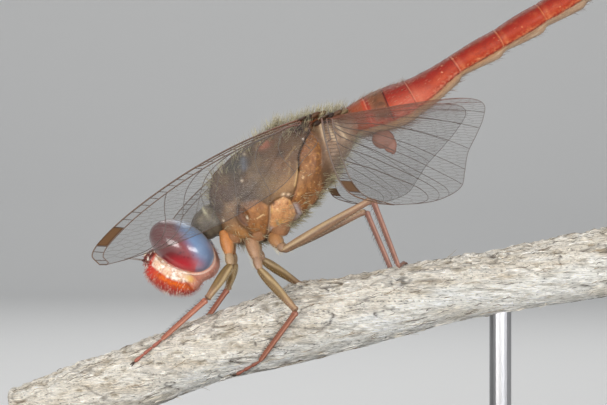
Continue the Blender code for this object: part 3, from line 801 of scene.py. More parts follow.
def thorax_tints(p, m):
    """Browns of the back, amber and tan plates, dark seams, the pit and the wing hinges."""
    back, up, side = m["back"], m["up"], m["side"]
    cloud = layered(p, 1.3, 3, 22)
    blot = layered(p * np.array((1.0, 1.0, 0.6)), 0.75, 3, 24)
    fine = layered(p, 0.20, 3, 21)
    streak = layered(body_streaks(p), 0.16, 3, 25)

    def spot(a, u, ra, ru=None):
        return bell((back - a) / ra, (up - u) / (ru or ra)) * side

    def line(path, width):
        return bell(from_path(back, up, path) / width) * side

    base = Tints("644830", p)
    base.lay("4a3e33", ramp(-back, -2.4, 0.6) * ramp(up, -1.0, 0.6) * 0.8)
    base.lay("765538", ramp(cloud, 0.0, 0.7) * 0.55)
    base.lay("4a3b30", ramp(-cloud, 0.1, 0.6) * 0.45)
    base.lay("3d3029", ramp(-blot, 0.1, 0.45) * ramp(up, -1.0, 0.2) * 0.55)
    base.lay("7c664c", ramp(blot, 0.12, 0.5) * ramp(up, -1.0, 0.2) * 0.55)
    for a, u, ra, ru, hue, strength in ((-1.3, 2.2, 1.0, 0.6, "464e4a", 0.5),
                                        (0.2, -0.1, 1.1, 0.7, "7e6238", 0.6),
                                        (1.3, 0.5, 0.8, 0.8, "85592f", 0.5),
                                        (-3.0, 1.3, 0.9, 0.9, "5e453e", 0.5)):
        base.lay(hue, spot(a, u, ra, ru) * strength)
    # plates of the side
    rear = ramp(within(back, up, REAR_PANEL), -0.10, 0.08) * side
    amber = Tints("7a4c26", p)
    amber.lay("9a6638", ramp(streak, -0.25, 0.45))
    amber.lay("7e4e26", ramp(-streak, 0.15, 0.6) * 0.7)
    amber.lay("cf9e64", ramp(streak, 0.42, 0.75) * 0.75)
    amber.lay("9c5f38", ramp(blot, 0.0, 0.5) * 0.5)
    grit = layered(p, 0.11, 2, 29)
    amber.lay("c48f4a", ramp(grit, 0.20, 0.55) * 0.55)
    amber.lay("5c3718", ramp(-grit, 0.20, 0.55) * 0.5)
    base.lay(amber, rear * 0.95)
    low = ramp(within(back, up, LOW_PANEL), -0.08, 0.08) * side
    tan = Tints("c2895a", p)
    tan.lay("d6a372", ramp(fine, -0.1, 0.5))
    tan.lay("8e5830", ramp(-fine, 0.15, 0.6) * 0.8)
    tan.lay("c99c50", ramp(streak, 0.1, 0.6) * 0.6)
    tan.lay("e0ba84", ramp(grit, 0.25, 0.6) * 0.5)
    base.lay(tan, low * 0.95)
    hips = ramp(within(back, up, HIP_PANEL), -0.08, 0.08) * side
    base.lay("a56e3c", hips * 0.85)
    gold = ramp(within(back, up, PIT_PANEL), -0.08, 0.12) * side
    ochre = Tints("8e5c32", p)
    ochre.lay("a87242", ramp(fine + blot, -0.1, 0.6))
    ochre.lay("94683a", ramp(-streak, 0.1, 0.5) * 0.6)
    base.lay(ochre, gold * ramp(-up, -0.3, 0.8) * 0.9)
    front = ramp(within(back, up, FRONT_PANEL), -0.15, 0.25) * side
    dun = Tints("85664a", p)
    dun.lay("a67442", ramp(-up, 0.4, 1.7))
    dun.lay("a08a6c", ramp(fine, 0.1, 0.6) * 0.6)
    base.lay(dun, front * 0.9)
    base.lay("a27a50", spot(1.0, -0.6, 1.1, 0.5) * 0.8)
    last = ramp(back - 0.28 * up, 3.95, 4.35) * ramp(-up, -1.5, -0.4)
    fawn = Tints("94755a", p)
    fawn.lay("74604c", ramp(-up, 0.0, 1.5))
    fawn.lay("b79c86", ramp(fine, 0.0, 0.6) * 0.5)
    base.lay(fawn, last * 0.9)
    # wing hinges: dark brown, then orange, then pale fanned ridges
    edge = bell((back - 3.75) / 0.85, (up - 1.95) / 0.34)
    base.lay("2c1a0f", edge * ramp(np.abs(m["across"]), 0.3, 0.8) * 0.92)
    base.lay("9a4c1c", bell((back - 4.72) / 0.4, (up - 1.75) / 0.22) * 0.9)
    for path in FAN_RIDGES:
        base.lay("cbb292", line(path, 0.13) * 0.85)
    for path, strength in zip(PALE_RIDGES, (0.35, 0.75, 0.5)):
        base.lay("c9a672", line(path, 0.055) * strength)
    # seams: brown, the upright one and the lower rims edged in pale lilac
    base.lay("4a2e18", np.clip(m["seams"], 0, 1) * 0.6)
    base.lay("4c2d16", line(SLIT_FOOT, 0.035) * 0.55)
    base.lay("c8a88c", line(UPRIGHT_SEAM, 0.038) * 0.7)
    base.lay("ead8bc", line(((-1.32, -2.73), (-0.82, -2.90), (-0.36, -2.90)), 0.05) * 0.9)
    base.lay("b9aaa8", line(((0.68, -2.00), (0.60, -2.60), (0.10, -2.95)), 0.16) * 0.85)
    base.lay("5a3318", line(((0.62, -1.62), (0.54, -2.10), (0.44, -2.50)), 0.035) * 0.8)
    base.lay("c2b2ae", spot(-1.38, -2.46, 0.16) * 0.8 + spot(-2.39, -2.26, 0.22, 0.12) * 0.6)
    base.lay("e2c08e", line(((-1.80, -1.35), (-1.34, -1.35)), 0.035) * 0.8)
    base.lay("3a2418", spot(-0.42, -1.12, 0.09, 0.12) * 0.8)
    base.lay("f0d2ae", spot(0.40, -1.00, 0.12, 0.09) * 0.9 + spot(0.66, -1.14, 0.09) * 0.8)
    # the pit with its dark rim and glints
    base.lay("4c2a16", np.exp(-m["pit"] ** 4) * side * 0.85)
    base.lay("8a5a34", spot(-2.28, -0.72, 0.13, 0.30) * 0.6)
    base.lay("2e1a10",
             line(((-2.20, 0.02), (-2.54, -0.26), (-2.74, -0.63), (-2.74, -1.06), (-2.56, -1.40)),
                  0.07) * 0.7)
    base.lay("f4e2c8",
             spot(-2.33, -1.00, 0.07, 0.10) + spot(-3.64, -0.31, 0.08)
             + spot(-0.30, 2.55, 0.10) * 0.4 + spot(-1.31, 1.16, 0.09) * 0.5)
    # marks of the upper side
    base.lay("a8604c", spot(1.10, 2.28, 0.42, 0.26) * 0.65)
    base.lay("2e2420", spot(1.67, 1.28, 0.36, 0.22) * 0.6)
    base.lay("6e7682", line(((-0.53, 2.25), (-0.75, 1.79)), 0.22) * 0.55)
    slit = line(SLIT[1:], 0.040)
    base.lay("0f0a08", slit * 0.95)
    base.lay("1c120c", line(SLIT[:2], 0.045) * 0.7)
    ring = np.hypot(back - 3.81, up - 1.65)
    base.lay("b09468", bell(ring / 0.13) * side * 0.9)
    base.lay("1e140e", bell((ring - 0.20) / 0.05) * side * 0.8)
    # painted glint in front of and below the pale hinge knob
    base.lay("f2e6d6", spot(3.34, 1.27, 0.06))
    # scattered glints
    base.lay("e6c496",
             ramp(lumps(p, 0.13, 28), 0.72, 0.88)
             * np.clip(rear + low + gold * 0.6 + front * 0.5, 0, 1) * 0.75)
    tail = ramp(back, 6.0, 6.7)
    base.lay("8e4a30", tail * 0.6)
    return base.colours


def neck_shell(shell):
    """The small front ring between head and wing-bearing thorax, with its collar."""
    table = ((-1.1, 0.55), (-0.8, 0.84), (-0.45, 1.06), (-0.15, 1.10), (0.2, 1.20), (0.5, 1.14),
             (0.9, 0.9))
    t = np.linspace(-1.1, 0.9, 60)
    r = ease(table, t)[0]
    ang = around(90)
    y = 1.1 * r[:, None] * np.cos(ang)
    u = 0.9 * r[:, None] * np.sin(ang)
    p = body_to_world(-4.55 + t[:, None], y, 0.10 + u)
    n = grid_normals(p)
    fine = layered(p, 0.30, 3, 8)
    p = p + n * (0.035 * fine + 0.01 * lumps(p, 0.12, 5))[..., None]
    base = Tints("5a5142", p)
    base.lay("7b705a", ramp(layered(p, 0.5, 2, 4), 0.0, 0.6) * 0.7)
    base.lay("4a3d30", ramp(-fine, 0.1, 0.5) * 0.6)
    collar = bell((t - 0.15) / 0.10)[:, None] * ramp(u, 0.2, 0.8)
    base.lay("c9c2a2", collar * 0.8)
    shell.tube(p, base.colours)


def wing_root(wing, side):
    """The point that a wing turns on, in mm."""
    x, y, z = wing["root"]
    return np.array((x, side * y, z))


def hinge(shell, wing, side):
    """The small plates that a wing turns on, heaped round its root."""
    for a, y, u, ra, ry, ru, hue in (
            (-0.45, 0.05, -0.07, 0.42, 0.34, 0.20, "321d0e"),
            (0.05, 0.15, -0.02, 0.36, 0.36, 0.14, "482a13"),
            (0.50, 0.10, -0.14, 0.36, 0.30, 0.18, "2c1a0f"),
            (0.95, 0.05, -0.24, 0.40, 0.30, 0.18, "52331a"),
            (-0.10, -0.15, -0.38, 0.34, 0.22, 0.20, "24160d"),
            (0.45, -0.10, -0.45, 0.30, 0.22, 0.22, "422813"),
            (1.35, -0.05, -0.40, 0.34, 0.26, 0.18, "6c573a"),
            (0.20, 0.42, -0.01, 0.26, 0.26, 0.10, "3c2412")):
        p = body_turn(globe(16, 24) * (ra, ry, ru) + (a, side * y, u)) + wing_root(wing, side)
        p = p + 0.03 * layered(p, 0.2, 2, 34)[..., None]
        tint = Tints(hue, p)
        tint.lay("1e130c", ramp(-layered(p, 0.15, 2, 35), 0.0, 0.6) * 0.5)
        tint.lay("a88c64", ramp(layered(p, 0.12, 2, 36), 0.35, 0.7) * 0.4)
        shell.tube(p, tint.colours)


# ---- abdomen ----
BACK_EDGE = 2.15  # where the back plates end, as an angle round from the top
KEEL_AT = 0.42  # place of the black keel along the second segment


def abdomen_frames(rows):
    """Rows of centre, up vector, half height, half width, segment and share within it."""
    joints = np.array(ABDOMEN)
    steps = np.hypot(np.diff(joints[:, 0]), np.diff(joints[:, 1]))
    run = np.concatenate([[0], np.cumsum(steps)])
    s = np.linspace(0, run[-1], rows)
    table = np.column_stack([run, joints])
    x, z, tall, wide = ease(table, s)
    k = np.clip(np.searchsorted(run, s, side="right") - 1, 0, len(steps) - 1)
    t = (s - run[k]) / steps[k]
    swell = np.array(SWELL)[k] * 4 * t * (1 - t)
    soft = np.convolve(np.pad(np.arctan2(np.gradient(z), np.gradient(x)), 12, mode="edge"),
                       np.ones(25) / 25, mode="valid")
    return np.stack([x, 0 * x, z], -1), upright(soft), tall + swell, wide + swell, k, t, s, run


def abdomen_shell(shell, rows=430, cols=120):
    """The ringed tail, with its keels, grooves and hanging belly plates."""
    centre, up, tall, wide, k, t, s, run = abdomen_frames(rows)
    phi = around(cols)  # 0 on the back
    across = np.sin(phi)[None, :]
    lift = np.cos(phi)[None, :]
    fold = np.abs(np.where(phi > np.pi, 2 * np.pi - phi, phi))[None, :]
    r = 1.0 + 0.035 * bell(fold / 0.10)
    r = r + 0.03 * bell((fold - BACK_EDGE) / 0.10)
    r = r - 0.02 * bell((fold - BACK_EDGE - 0.22) / 0.12)
    r = np.broadcast_to(r, (rows, cols)).copy()
    # belly plates bulge towards the rear of each segment, deeper on the front ones
    belly = ramp(fold, 2.35, 3.0)
    hang = 1.15 * t ** 1.4 * (1 - ramp(t, 0.80, 0.99))
    r += ((0.05 + 0.26 * hang) * ramp(k, 0.5, 2) * (1 - 0.8 * ramp(k, 6, 9)))[:, None] * belly
    past = s[:, None] - run[None, 1:-1]  # past each inner joint, in mm
    near = np.min(np.abs(past), axis=1)
    behind = np.min(np.where(past > 0, past, 9), axis=1)
    before = np.min(np.where(past < 0, -past, 9), axis=1)
    groove = -0.040 * bell(near / 0.03) + 0.022 * bell((before - 0.08) / 0.05)
    keel = np.where(k == 1, bell((t - KEEL_AT) / 0.012), 0)
    top = ramp(BACK_EDGE + 0.1 - fold, 0.0, 0.15)
    out = np.stack([0 * across, across, 0 * across], -1)
    p = (centre[:, None, :] + out * (wide[:, None] * r)[..., None]
         + up[:, None, :] * (lift * tall[:, None] * r)[..., None])
    n = grid_normals(p)
    if n[rows // 2, 0, 2] < 0:
        n = -n
    d = groove[:, None] * (0.35 + 0.65 * top) - 0.035 * keel[:, None] * top
    d = d + 0.012 * layered(p, 0.45, 3, 31)
    d += 0.006 * layered(p, 0.11, 2, 33)
    p = p + n * d[..., None]
    shell.tube(p, abdomen_tints(p, fold, k, t, before, behind, keel, top))
    return p, n, fold, k


def abdomen_tints(p, fold, k, t, before, behind, keel, top):
    """Reds of the back plates, rings at the joints and sandy plates below."""
    seg = k[:, None]
    share = t[:, None]
    base = Tints("962619", p)
    base.lay("c4602c",
             bell((fold - 1.72) / 0.42) * (0.45 + 0.4 * ramp(layered(p, 1.1, 3, 42), -0.3, 0.6)))
    base.lay("b66a50", ramp(layered(p, 0.5, 3, 41), 0.15, 0.8) * 0.45)
    base.lay("7c2a1e", ramp(-layered(p, 0.35, 3, 49), 0.15, 0.6) * 0.35)
    ragged = fold + 0.30 * layered(p, 0.35, 3, 40)
    base.lay("7e5244", (1 - ramp(ragged, 0.45, 1.05)) * 0.60)
    dust = ramp(lumps(p, 0.10, 53) + 0.5 * layered(p, 0.3, 2, 54), 0.25, 0.7)
    base.lay("a9948a",
             dust * ((1 - ramp(fold, 0.5, 1.1)) * 0.45 + bell((fold - BACK_EDGE) / 0.18) * 0.3))
    base.lay("b4482a", ramp(ragged, 1.55, 2.0) * 0.30)
    sand = ramp(layered(p, 0.12, 2, 57), -0.30, 0.30) * ramp(ragged, 1.80, 2.25)
    base.lay("d29c82", sand * 0.75)
    # the first two segments are duller, with a grey-brown patch before the keel
    first = (seg == 0) * 1.0
    base.lay("a0623e", first * 0.85)
    base.lay("d0502c", first * ramp(share, 0.80, 0.93) * 0.85)
    patch = (seg == 1) * (1 - ramp(share, 0.38, KEEL_AT)) * ramp(share, 0.04, 0.10)
    patch = patch * ramp(2.2 - fold, 0.0, 0.4)
    base.lay("7c6446", patch * 0.85)
    base.lay("4e3c2a", patch * ramp(layered(p, 0.35, 2, 55), 0.0, 0.5) * 0.6)
    # painted highlight: a pinkish sheen on the flank over the back of the second segment and the
    # front of the third
    pink_highlight = (seg == 1) * ramp(share, KEEL_AT, 0.6) + (seg == 2) * (1 - ramp(share, 0.1, 0.5))
    base.lay("d88a74", np.clip(pink_highlight, 0, 1) * ramp(fold, 0.8, 2.0) * 0.6)
    late = ramp(seg, 6.5, 8.5)
    base.lay("b23324", late * 0.5)
    # sternites: pale tan, with a dark freckled line where the back plates end
    below = ramp(fold + 0.09 * layered(p, 0.22, 2, 58), 2.26, 2.42)
    base.lay("b79a7c", below * 0.92)
    warm = below * (1 - ramp(seg, 3, 5)) * (1 - ramp(fold, 2.4, 2.8))
    base.lay("c08a5c", warm * 0.6)
    grain = np.stack(np.broadcast_arrays(0.8 * (seg + share), 2.0 * fold,
                                         3.0 * np.sign(p[..., 1])), -1)
    base.lay("80644e", below * ramp(layered(grain, 0.3, 3, 44), 0.0, 0.6) * 0.55)
    base.lay("dcc8ac", below * ramp(-layered(grain, 0.22, 2, 59), 0.15, 0.7) * 0.5)
    line = bell((fold - 2.30) / 0.06)
    base.lay("5b352a", line * 0.55 * ramp(lumps(p, 0.12, 45), -0.1, 0.4))
    # pale joint rings with a thin dark line behind, and the keels
    ring = bell((before - 0.05) / 0.05)[:, None] * top
    base.lay("d8a488", ring * (0.50 + 0.35 * ramp(lumps(p, 0.2, 46), -0.3, 0.5)))
    dark = bell((before - 0.12) / 0.022)[:, None] * top
    base.lay("5a1a12", dark * 0.7)
    cuff = bell((behind - 0.22) / 0.16)[:, None] * top * (seg < 6)
    base.lay("d69a80",
             cuff * (0.5 + 0.5 * ramp(layered(p, 0.2, 2, 48), -0.2, 0.5))
             * (0.18 + 0.50 * ramp(fold, 0.9, 2.0)))
    base.lay("1c0e0a", np.clip(keel[:, None] * top * 1.8, 0, 1) * 0.95)
    dots = ramp(lumps(p, 0.22, 47), 0.80, 0.92) * top
    base.lay("f4d8b8", dots * 0.6)
    base.lay("5e1c14", bell(fold / 0.04) * 0.45 * (seg > 1))
    pale = below[..., None]
    rear = ramp(seg, 1.5, 3.5)[..., None]
    deep = np.array((0.78, 0.52, 0.46)) - rear * np.array((0.0, 0.08, 0.22))
    return base.colours * (deep * (1 - pale) + 0.78 * pale)


def lobe_shell(shell):
    """The male's second-segment organ under the belly: a pinkish hooked lobe."""
    for centre, axes, hue in (((5.10, 0.0, 25.05), (0.72, 0.50, 0.62), "8a5e4e"),
                              ((5.55, 0.0, 24.68), (0.42, 0.36, 0.50), "956656"),
                              ((5.72, 0.0, 24.42), (0.22, 0.22, 0.34), "7e5244")):
        for sign in (-1, 1):
            c = (centre[0], sign * axes[1] * 0.35, centre[2])
            ball(shell, c, (axes[0], axes[1] * 0.7, axes[2]), tone(hue), 14, 20)


# ---- head ----
def eye_distance(p):
    """1 on the surface of the nearer eye, less inside and more outside, in the head frame."""
    q = p.copy()
    q[..., 1] = np.abs(q[..., 1])
    return np.sqrt((((q - EYE_CENTRE) / EYE_AXES) ** 2).sum(-1))


def ray_ellipsoid(d, centre, axes, origin):
    """How far rays from an origin run before they leave an ellipsoid."""
    o = (origin - centre) / axes
    v = d / axes
    a = (v * v).sum(-1)
    b = (v * o).sum(-1)
    c = (o * o).sum() - 1.0
    root = np.sqrt(np.maximum(b * b - a * c, 0.0))
    return (-b + root) / a


def head_shell(shell, rows=210, cols=260):
    """Star-shaped skin round the head's middle: skull, frons, clypeus, lips and jaws."""
    origin = np.array((0.35, 0.0, -0.20))
    d = globe_across(rows, cols, 0.004)
    skull = ray_ellipsoid(d, SKULL_CENTRE, SKULL_AXES, origin)
    face = ray_ellipsoid(d, FACE_CENTRE, FACE_AXES, origin)
    k = 7.0
    r = np.log(np.exp(k * skull) + np.exp(k * face)) / k - 0.06
    p = origin + d * r[..., None]
    n = grid_normals(p)
    if n[rows // 2, 0, 0] < 0:
        n = -n
    f, y, u = np.moveaxis(p, -1, 0)
    front = ramp(f, 0.9, 1.5)
    move = np.zeros(f.shape)
    # frons: two swellings with a dent between them, hanging over the clypeus
    for sign in (-1, 1):
        move += 0.16 * bell((y - sign * 0.48) / 0.45, (u - 1.10) / 0.5) * front
    move -= 0.10 * bell(y / 0.10, (u - 1.3) / 0.5) * front
    for level, depth, width in ((0.62, 0.035, 0.05), (0.02, 0.018, 0.04), (-0.80, 0.03, 0.04),
                                (-1.30, 0.03, 0.04), (1.52, 0.16, 0.11)):
        bow = level - 0.10 * (y / 1.2) ** 2
        move -= depth * bell((u - bow) / width) * front
    move += 0.05 * bell((u + 0.10) / 0.6, y / 0.9) * front
    # upright seam between clypeus side and cheek, and the jaw's outline
    jaw = from_path(f, u, ((1.47, -1.03), (1.61, -1.42), (1.81, -1.83)))
    move -= 0.04 * bell(jaw / 0.05) * ramp(np.abs(y), 0.5, 0.8)
    cheek = from_path(f, u, ((0.95, -1.15), (1.05, -1.9), (1.2, -2.4)))
    move -= 0.05 * bell(cheek / 0.07) * ramp(np.abs(y), 0.4, 0.8)
    # vertex knob between the eyes
    move += 0.20 * bell((f - 1.50) / 0.30, y / 0.40, (u - 1.80) / 0.25)
    e = eye_distance(p)
    move += 0.05 * bell((e - 1.06) / 0.04)
    move += 0.014 * layered(p, 0.5, 3, 51) + 0.012 * layered(p, 0.14, 2, 52) * front
    p = p + n * move[..., None]
    w = head_to_world(p)
    shell.tube(w, head_tints(p, e, jaw, cheek))
    return w, grid_normals(w), p, e


def head_tints(p, e, jaw, cheek):
    """Pink cheeks, red face, a pale band under the eyes painted as a highlight, and the dark crown.
    """
    f, y, u = np.moveaxis(p, -1, 0)
    y = np.abs(y)
    front = ramp(f + 0.25 * u, 1.0, 1.35)
    base = Tints("dc9680", p)
    base.lay("a87a60", ramp(-f, 0.2, 1.0) * 0.8)
    base.lay("ecb4a2", ramp(layered(p, 0.7, 2, 61), 0.1, 0.7) * 0.5)
    wander = e + 0.06 * layered(p, 0.45, 3, 63)
    red = Tints("bf2e1c", p)
    red.lay("dc6a22", bell((wander - 1.64) / 0.14) * ramp(1.15 - u, 0.0, 0.8))
    red.lay("a51d14", ramp(wander, 1.75, 2.1) * 0.6)
    red.lay("e08a60", ramp(layered(p, 0.22, 3, 62), 0.15, 0.6) * 0.45)
    red.lay("8e1c12", ramp(-layered(p, 0.20, 3, 68), 0.2, 0.6) * 0.4)
    base.lay(red, front)
    # pale band along the lower edge of the eye, painted as a highlight with painted white glints on
    # it, brown where it meets the frons
    band = (1 - ramp(wander, 1.38, 1.54)) * ramp(f, 0.75, 1.05) * ramp(u, -1.35, -1.0)
    band = band * (1 - ramp(u, 1.2, 1.5))
    base.lay("e3c3a4", band * 0.9)
    base.lay("fbf4e8", band * ramp(layered(p, 0.20, 3, 69), -0.15, 0.35) * 0.9)
    base.lay("a87244", band * ramp(-layered(p, 0.16, 2, 70), 0.25, 0.6) * 0.6)
    edge = bell((wander - 1.10) / 0.05) * ramp(u, 0.5, 0.9) * ramp(f, 0.8, 1.1)
    base.lay("8a5a30", edge * 0.8)
    yellow = bell((f - 1.2) / 0.20, (u + 1.28) / 0.24) * ramp(y, 0.4, 0.8)
    base.lay("e3c05a", yellow * 0.75)
    base.lay("7c1f10", bell(jaw / 0.05) * ramp(y, 0.5, 0.8) * 0.6)
    base.lay("a85c48", bell(cheek / 0.06) * ramp(y, 0.4, 0.8) * 0.4)
    for level in (0.62, 0.02, -0.80, -1.30):
        bow = level - 0.10 * (y / 1.2) ** 2
        base.lay("a0200f", bell((u - bow) / 0.035) * front * 0.4)
    crown = ramp(u, 1.42, 1.58) * front
    base.lay("4a1f16", crown * 0.9)
    base.lay("e9e0d2", crown * ramp(lumps(p, 0.22, 66), 0.25, 0.5) * 0.85)
    base.lay("a8301c", crown * ramp(-lumps(p, 0.30, 67), 0.3, 0.6) * 0.6)
    rim = bell((e - 1.04) / 0.025) * (1 - front)
    base.lay("e8d2c0", rim * 0.7)
    return base.colours


def eye_shell(shell, side, rows=110, cols=160):
    """One big compound eye: crimson in front, maroon above, blue-grey behind."""
    d = globe_across(rows, cols, 0.01)
    p = d * (EYE_AXES - 0.012) + EYE_CENTRE
    f = p[..., 0]
    u = p[..., 2]
    edge = np.interp(u, (-2.3, -1.30, -1.14, -0.52, 0.38, 1.35, 2.4),
                     (0.95, 0.30, -0.28, -0.62, -1.08, -1.58, -1.9))
    wobble = 0.14 * layered(p, 0.8, 3, 71)
    grey = 1 - ramp(f - edge + wobble, -0.30, 0.55)
    tint = Tints("822e34", p)
    tint.lay("54201f", ramp(u + 0.25 * f, -0.6, 0.9) * 0.85)
    tint.lay("c42c36", ramp(f - 0.30 * u, -0.05, 0.80) * ramp(-u, -1.25, 0.3) * 0.9)
    tint.lay("6a86a8", grey * 0.95)
    tint.lay("8496ae", grey * ramp(layered(p, 0.8, 2, 72), 0.0, 0.8) * 0.5)
    tint.lay("5c6e8c", grey * ramp(-u, 0.6, 1.9) * 0.6)
    rose = bell((f - 0.04) / 0.36, (u + 1.25) / 0.42)
    tint.lay("c07a80", rose * 0.65)
    for ff, uu, size in ((-0.02, 0.05, 0.075), (0.16, 0.12, 0.04), (-0.16, -0.10, 0.045),
                         (0.10, -0.30, 0.04), (0.02, -0.52, 0.035), (-0.28, -0.72, 0.04)):
        spot = bell((f - ff) / size, (u - uu) / size)
        tint.lay("3a1020", spot * 0.75)
    rim = ramp(np.abs(d[..., 1]), 0.0, 0.30)
    tint.lay("d9c2b4", (1 - rim) * ramp(-f, 0.9, 1.3) * 0.6)
    shell.tube(head_to_world(p * np.array((1, side, 1))), tint.colours)


# ---- bristle sowing ----
HAIRS = {"thorax": 2600, "abdomen": 2000, "face": 1500}
CHART_EDGE = 0.03  # margin round the OFBake map


def sow(rng, p, n, weight, count):
    """Random roots over a grid, by weight and area, with normals and unwrap places."""
    rows, cols = weight.shape
    du, dv = grid_steps(p)
    chance = (weight * np.linalg.norm(du, axis=-1) * np.linalg.norm(dv, axis=-1)).ravel()
    pick = rng.choice(rows * cols, count, p=chance / chance.sum())
    i = pick // cols
    j = pick % cols
    di = rng.random(count) - 0.5
    dj = rng.random(count) - 0.5
    roots = p[i, j] + du[i, j] * di[:, None] + dv[i, j] * dj[:, None]
    place = np.stack([(i + di) / rows, (j + dj) / cols], 1) * (1 - 2 * CHART_EDGE) + CHART_EDGE
    return roots - n[i, j] * 0.02, n[i, j], place, i, j


# ---- wings ----
RADIUS_GAP = 0.62
OUTSIDE = 99  # the field number of seeds past the wing's outline


def chord_ends(edge, share):
    """Distances of the leading and trailing edges behind the spar."""
    lead = ease(LEADING_EDGE, share)[0]
    return lead, np.maximum(ease(edge, share)[0], lead + LEAST_CHORD)


def wing_place(wing, edge, side, share, dist, lift=0.0):
    """World points of places on a wing: share of the span, mm behind the spar."""
    share = np.asarray(share, float)
    dist = np.asarray(dist, float)
    forward = np.array((-BODY_COS, 0, -BODY_SIN))
    up = np.array((-BODY_SIN, 0, BODY_COS))
    out = np.array((0, side, 0))
    sweep = math.radians(wing["sweep"])
    level = out * math.cos(sweep) + forward * math.sin(sweep)
    back = -(forward * math.cos(sweep) - out * math.sin(sweep))
    droop = np.radians(wing["droop"] + wing["curl"] * share)[..., None]
    pitch = np.radians(wing["pitch"] + wing["twist"] * share)[..., None]
    spar = level * np.cos(droop) - up * np.sin(droop)
    normal = up * np.cos(droop) + level * np.sin(droop)
    chord = back * np.cos(pitch) - normal * np.sin(pitch)
    lead, trail = chord_ends(edge, share)
    f = np.clip((dist - lead) / (trail - lead), 0, 1)
    camber = 0.25 * np.sin(np.pi * f) * np.sin(np.pi * np.minimum(share * 1.2, 1))
    pleat = 0.055 * np.cos(2 * np.pi * f * 3.2) * (1 - f) * (1 - 0.6 * share)
    height = (camber + pleat + lift)[..., None]
    return (wing_root(wing, side) + spar * (wing["length"] * share)[..., None]
            + chord * dist[..., None] + normal * height)


def vein_line(veins, edge, number, share):
    """Distance behind the spar of a numbered vein, -1 being the radius."""
    lead, trail = chord_ends(edge, share)
    start = np.minimum(lead + RADIUS_GAP * ramp(share, -0.02, 0.05), trail)
    if number < 0:
        return start
    s0, s1, power = veins[number]
    return start + (trail - start) * np.clip((share - s0) / (s1 - s0), 0, 1) ** power


def wing_cells(length, edge, veins, cell, seed):
    """Net of small cross veins: cells round jittered seeds, split along the main veins."""
    rng = np.random.default_rng(seed)
    seeds = []
    step = cell * 0.87
    for i, c in enumerate(np.arange(-1.5, 11.5, step)):
        s = np.arange(-1.2 + (i % 2) * cell / 2, length + 1.5, cell)
        seeds.append(np.stack([s, np.full(len(s), c)], 1))
    seeds = np.concatenate(seeds)
    seeds += (rng.random(seeds.shape) - 0.5) * cell * 0.42
    share = np.clip(seeds[:, 0] / length, 0, 1)
    lead, trail = chord_ends(edge, share)
    field = np.zeros(len(seeds), int)
    for k in range(len(veins)):
        field += seeds[:, 1] > vein_line(veins, edge, k, share)
    field[seeds[:, 1] < vein_line(veins, edge, -1, share)] = -1
    outside = (seeds[:, 1] > trail) | (seeds[:, 0] > length) | (seeds[:, 0] < 0)
    field[outside] = OUTSIDE
    near = (seeds[:, 1] < trail + 1.6) & (seeds[:, 1] > lead - 1.2)
    seeds = seeds[near]
    field = field[near]
    found = delaunay_2d_cdt([Vector(q) for q in seeds.tolist()], [], [], 0, 1e-7)
    tris = np.array([f for f in found[2] if len(f) == 3])
    spots = np.array([tuple(v) for v in found[0]])
    origin = np.array([o[0] for o in found[3]])
    kinds = field[origin]
    a = spots[tris[:, 0]]
    b = spots[tris[:, 1]]
    c = spots[tris[:, 2]]
    d = 2 * (a[:, 0] * (b[:, 1] - c[:, 1]) + b[:, 0] * (c[:, 1] - a[:, 1])
             + c[:, 0] * (a[:, 1] - b[:, 1]))
    d = np.where(np.abs(d) < 1e-9, 1e-9, d)
    sa = (a ** 2).sum(1)
    sb = (b ** 2).sum(1)
    sc = (c ** 2).sum(1)
    cx = (sa * (b[:, 1] - c[:, 1]) + sb * (c[:, 1] - a[:, 1]) + sc * (a[:, 1] - b[:, 1])) / d
    cy = (sa * (c[:, 0] - b[:, 0]) + sb * (a[:, 0] - c[:, 0]) + sc * (b[:, 0] - a[:, 0])) / d
    centre = np.stack([cx, cy], 1)
    middle = (a + b + c) / 3
    off = centre - middle
    far = np.linalg.norm(off, axis=1, keepdims=True)
    centre = middle + off * np.minimum(1, cell * 0.6 / np.maximum(far, 1e-9))
    trikinds = kinds[tris]
    low = trikinds.min(1)
    high = trikinds.max(1)
    cs = np.clip(centre[:, 0] / length, 0, 1)
    lines = np.stack([vein_line(veins, edge, k, cs) for k in range(-1, len(veins))], 0)
    edge_line = chord_ends(edge, cs)[1]
    for t in range(len(tris)):
        if low[t] == high[t]:
            continue
        if high[t] == OUTSIDE:
            if low[t] >= 0:
                centre[t, 1] = edge_line[t]
            continue
        options = lines[low[t] + 1:high[t] + 1, t]
        centre[t, 1] = options[np.argmin(np.abs(options - centre[t, 1]))]
    owners = {}
    for t, tri in enumerate(tris.tolist()):
        for m in range(3):
            key = tuple(sorted((tri[m], tri[(m + 1) % 3])))
            owners.setdefault(key, []).append(t)
    links = []
    for (i, j), ts in owners.items():
        if len(ts) == 2 and kinds[i] == kinds[j] and 0 <= kinds[i] < OUTSIDE:
            if np.linalg.norm(centre[ts[0]] - centre[ts[1]]) > 0.04:
                links.append(ts)
    return centre, np.array(links)


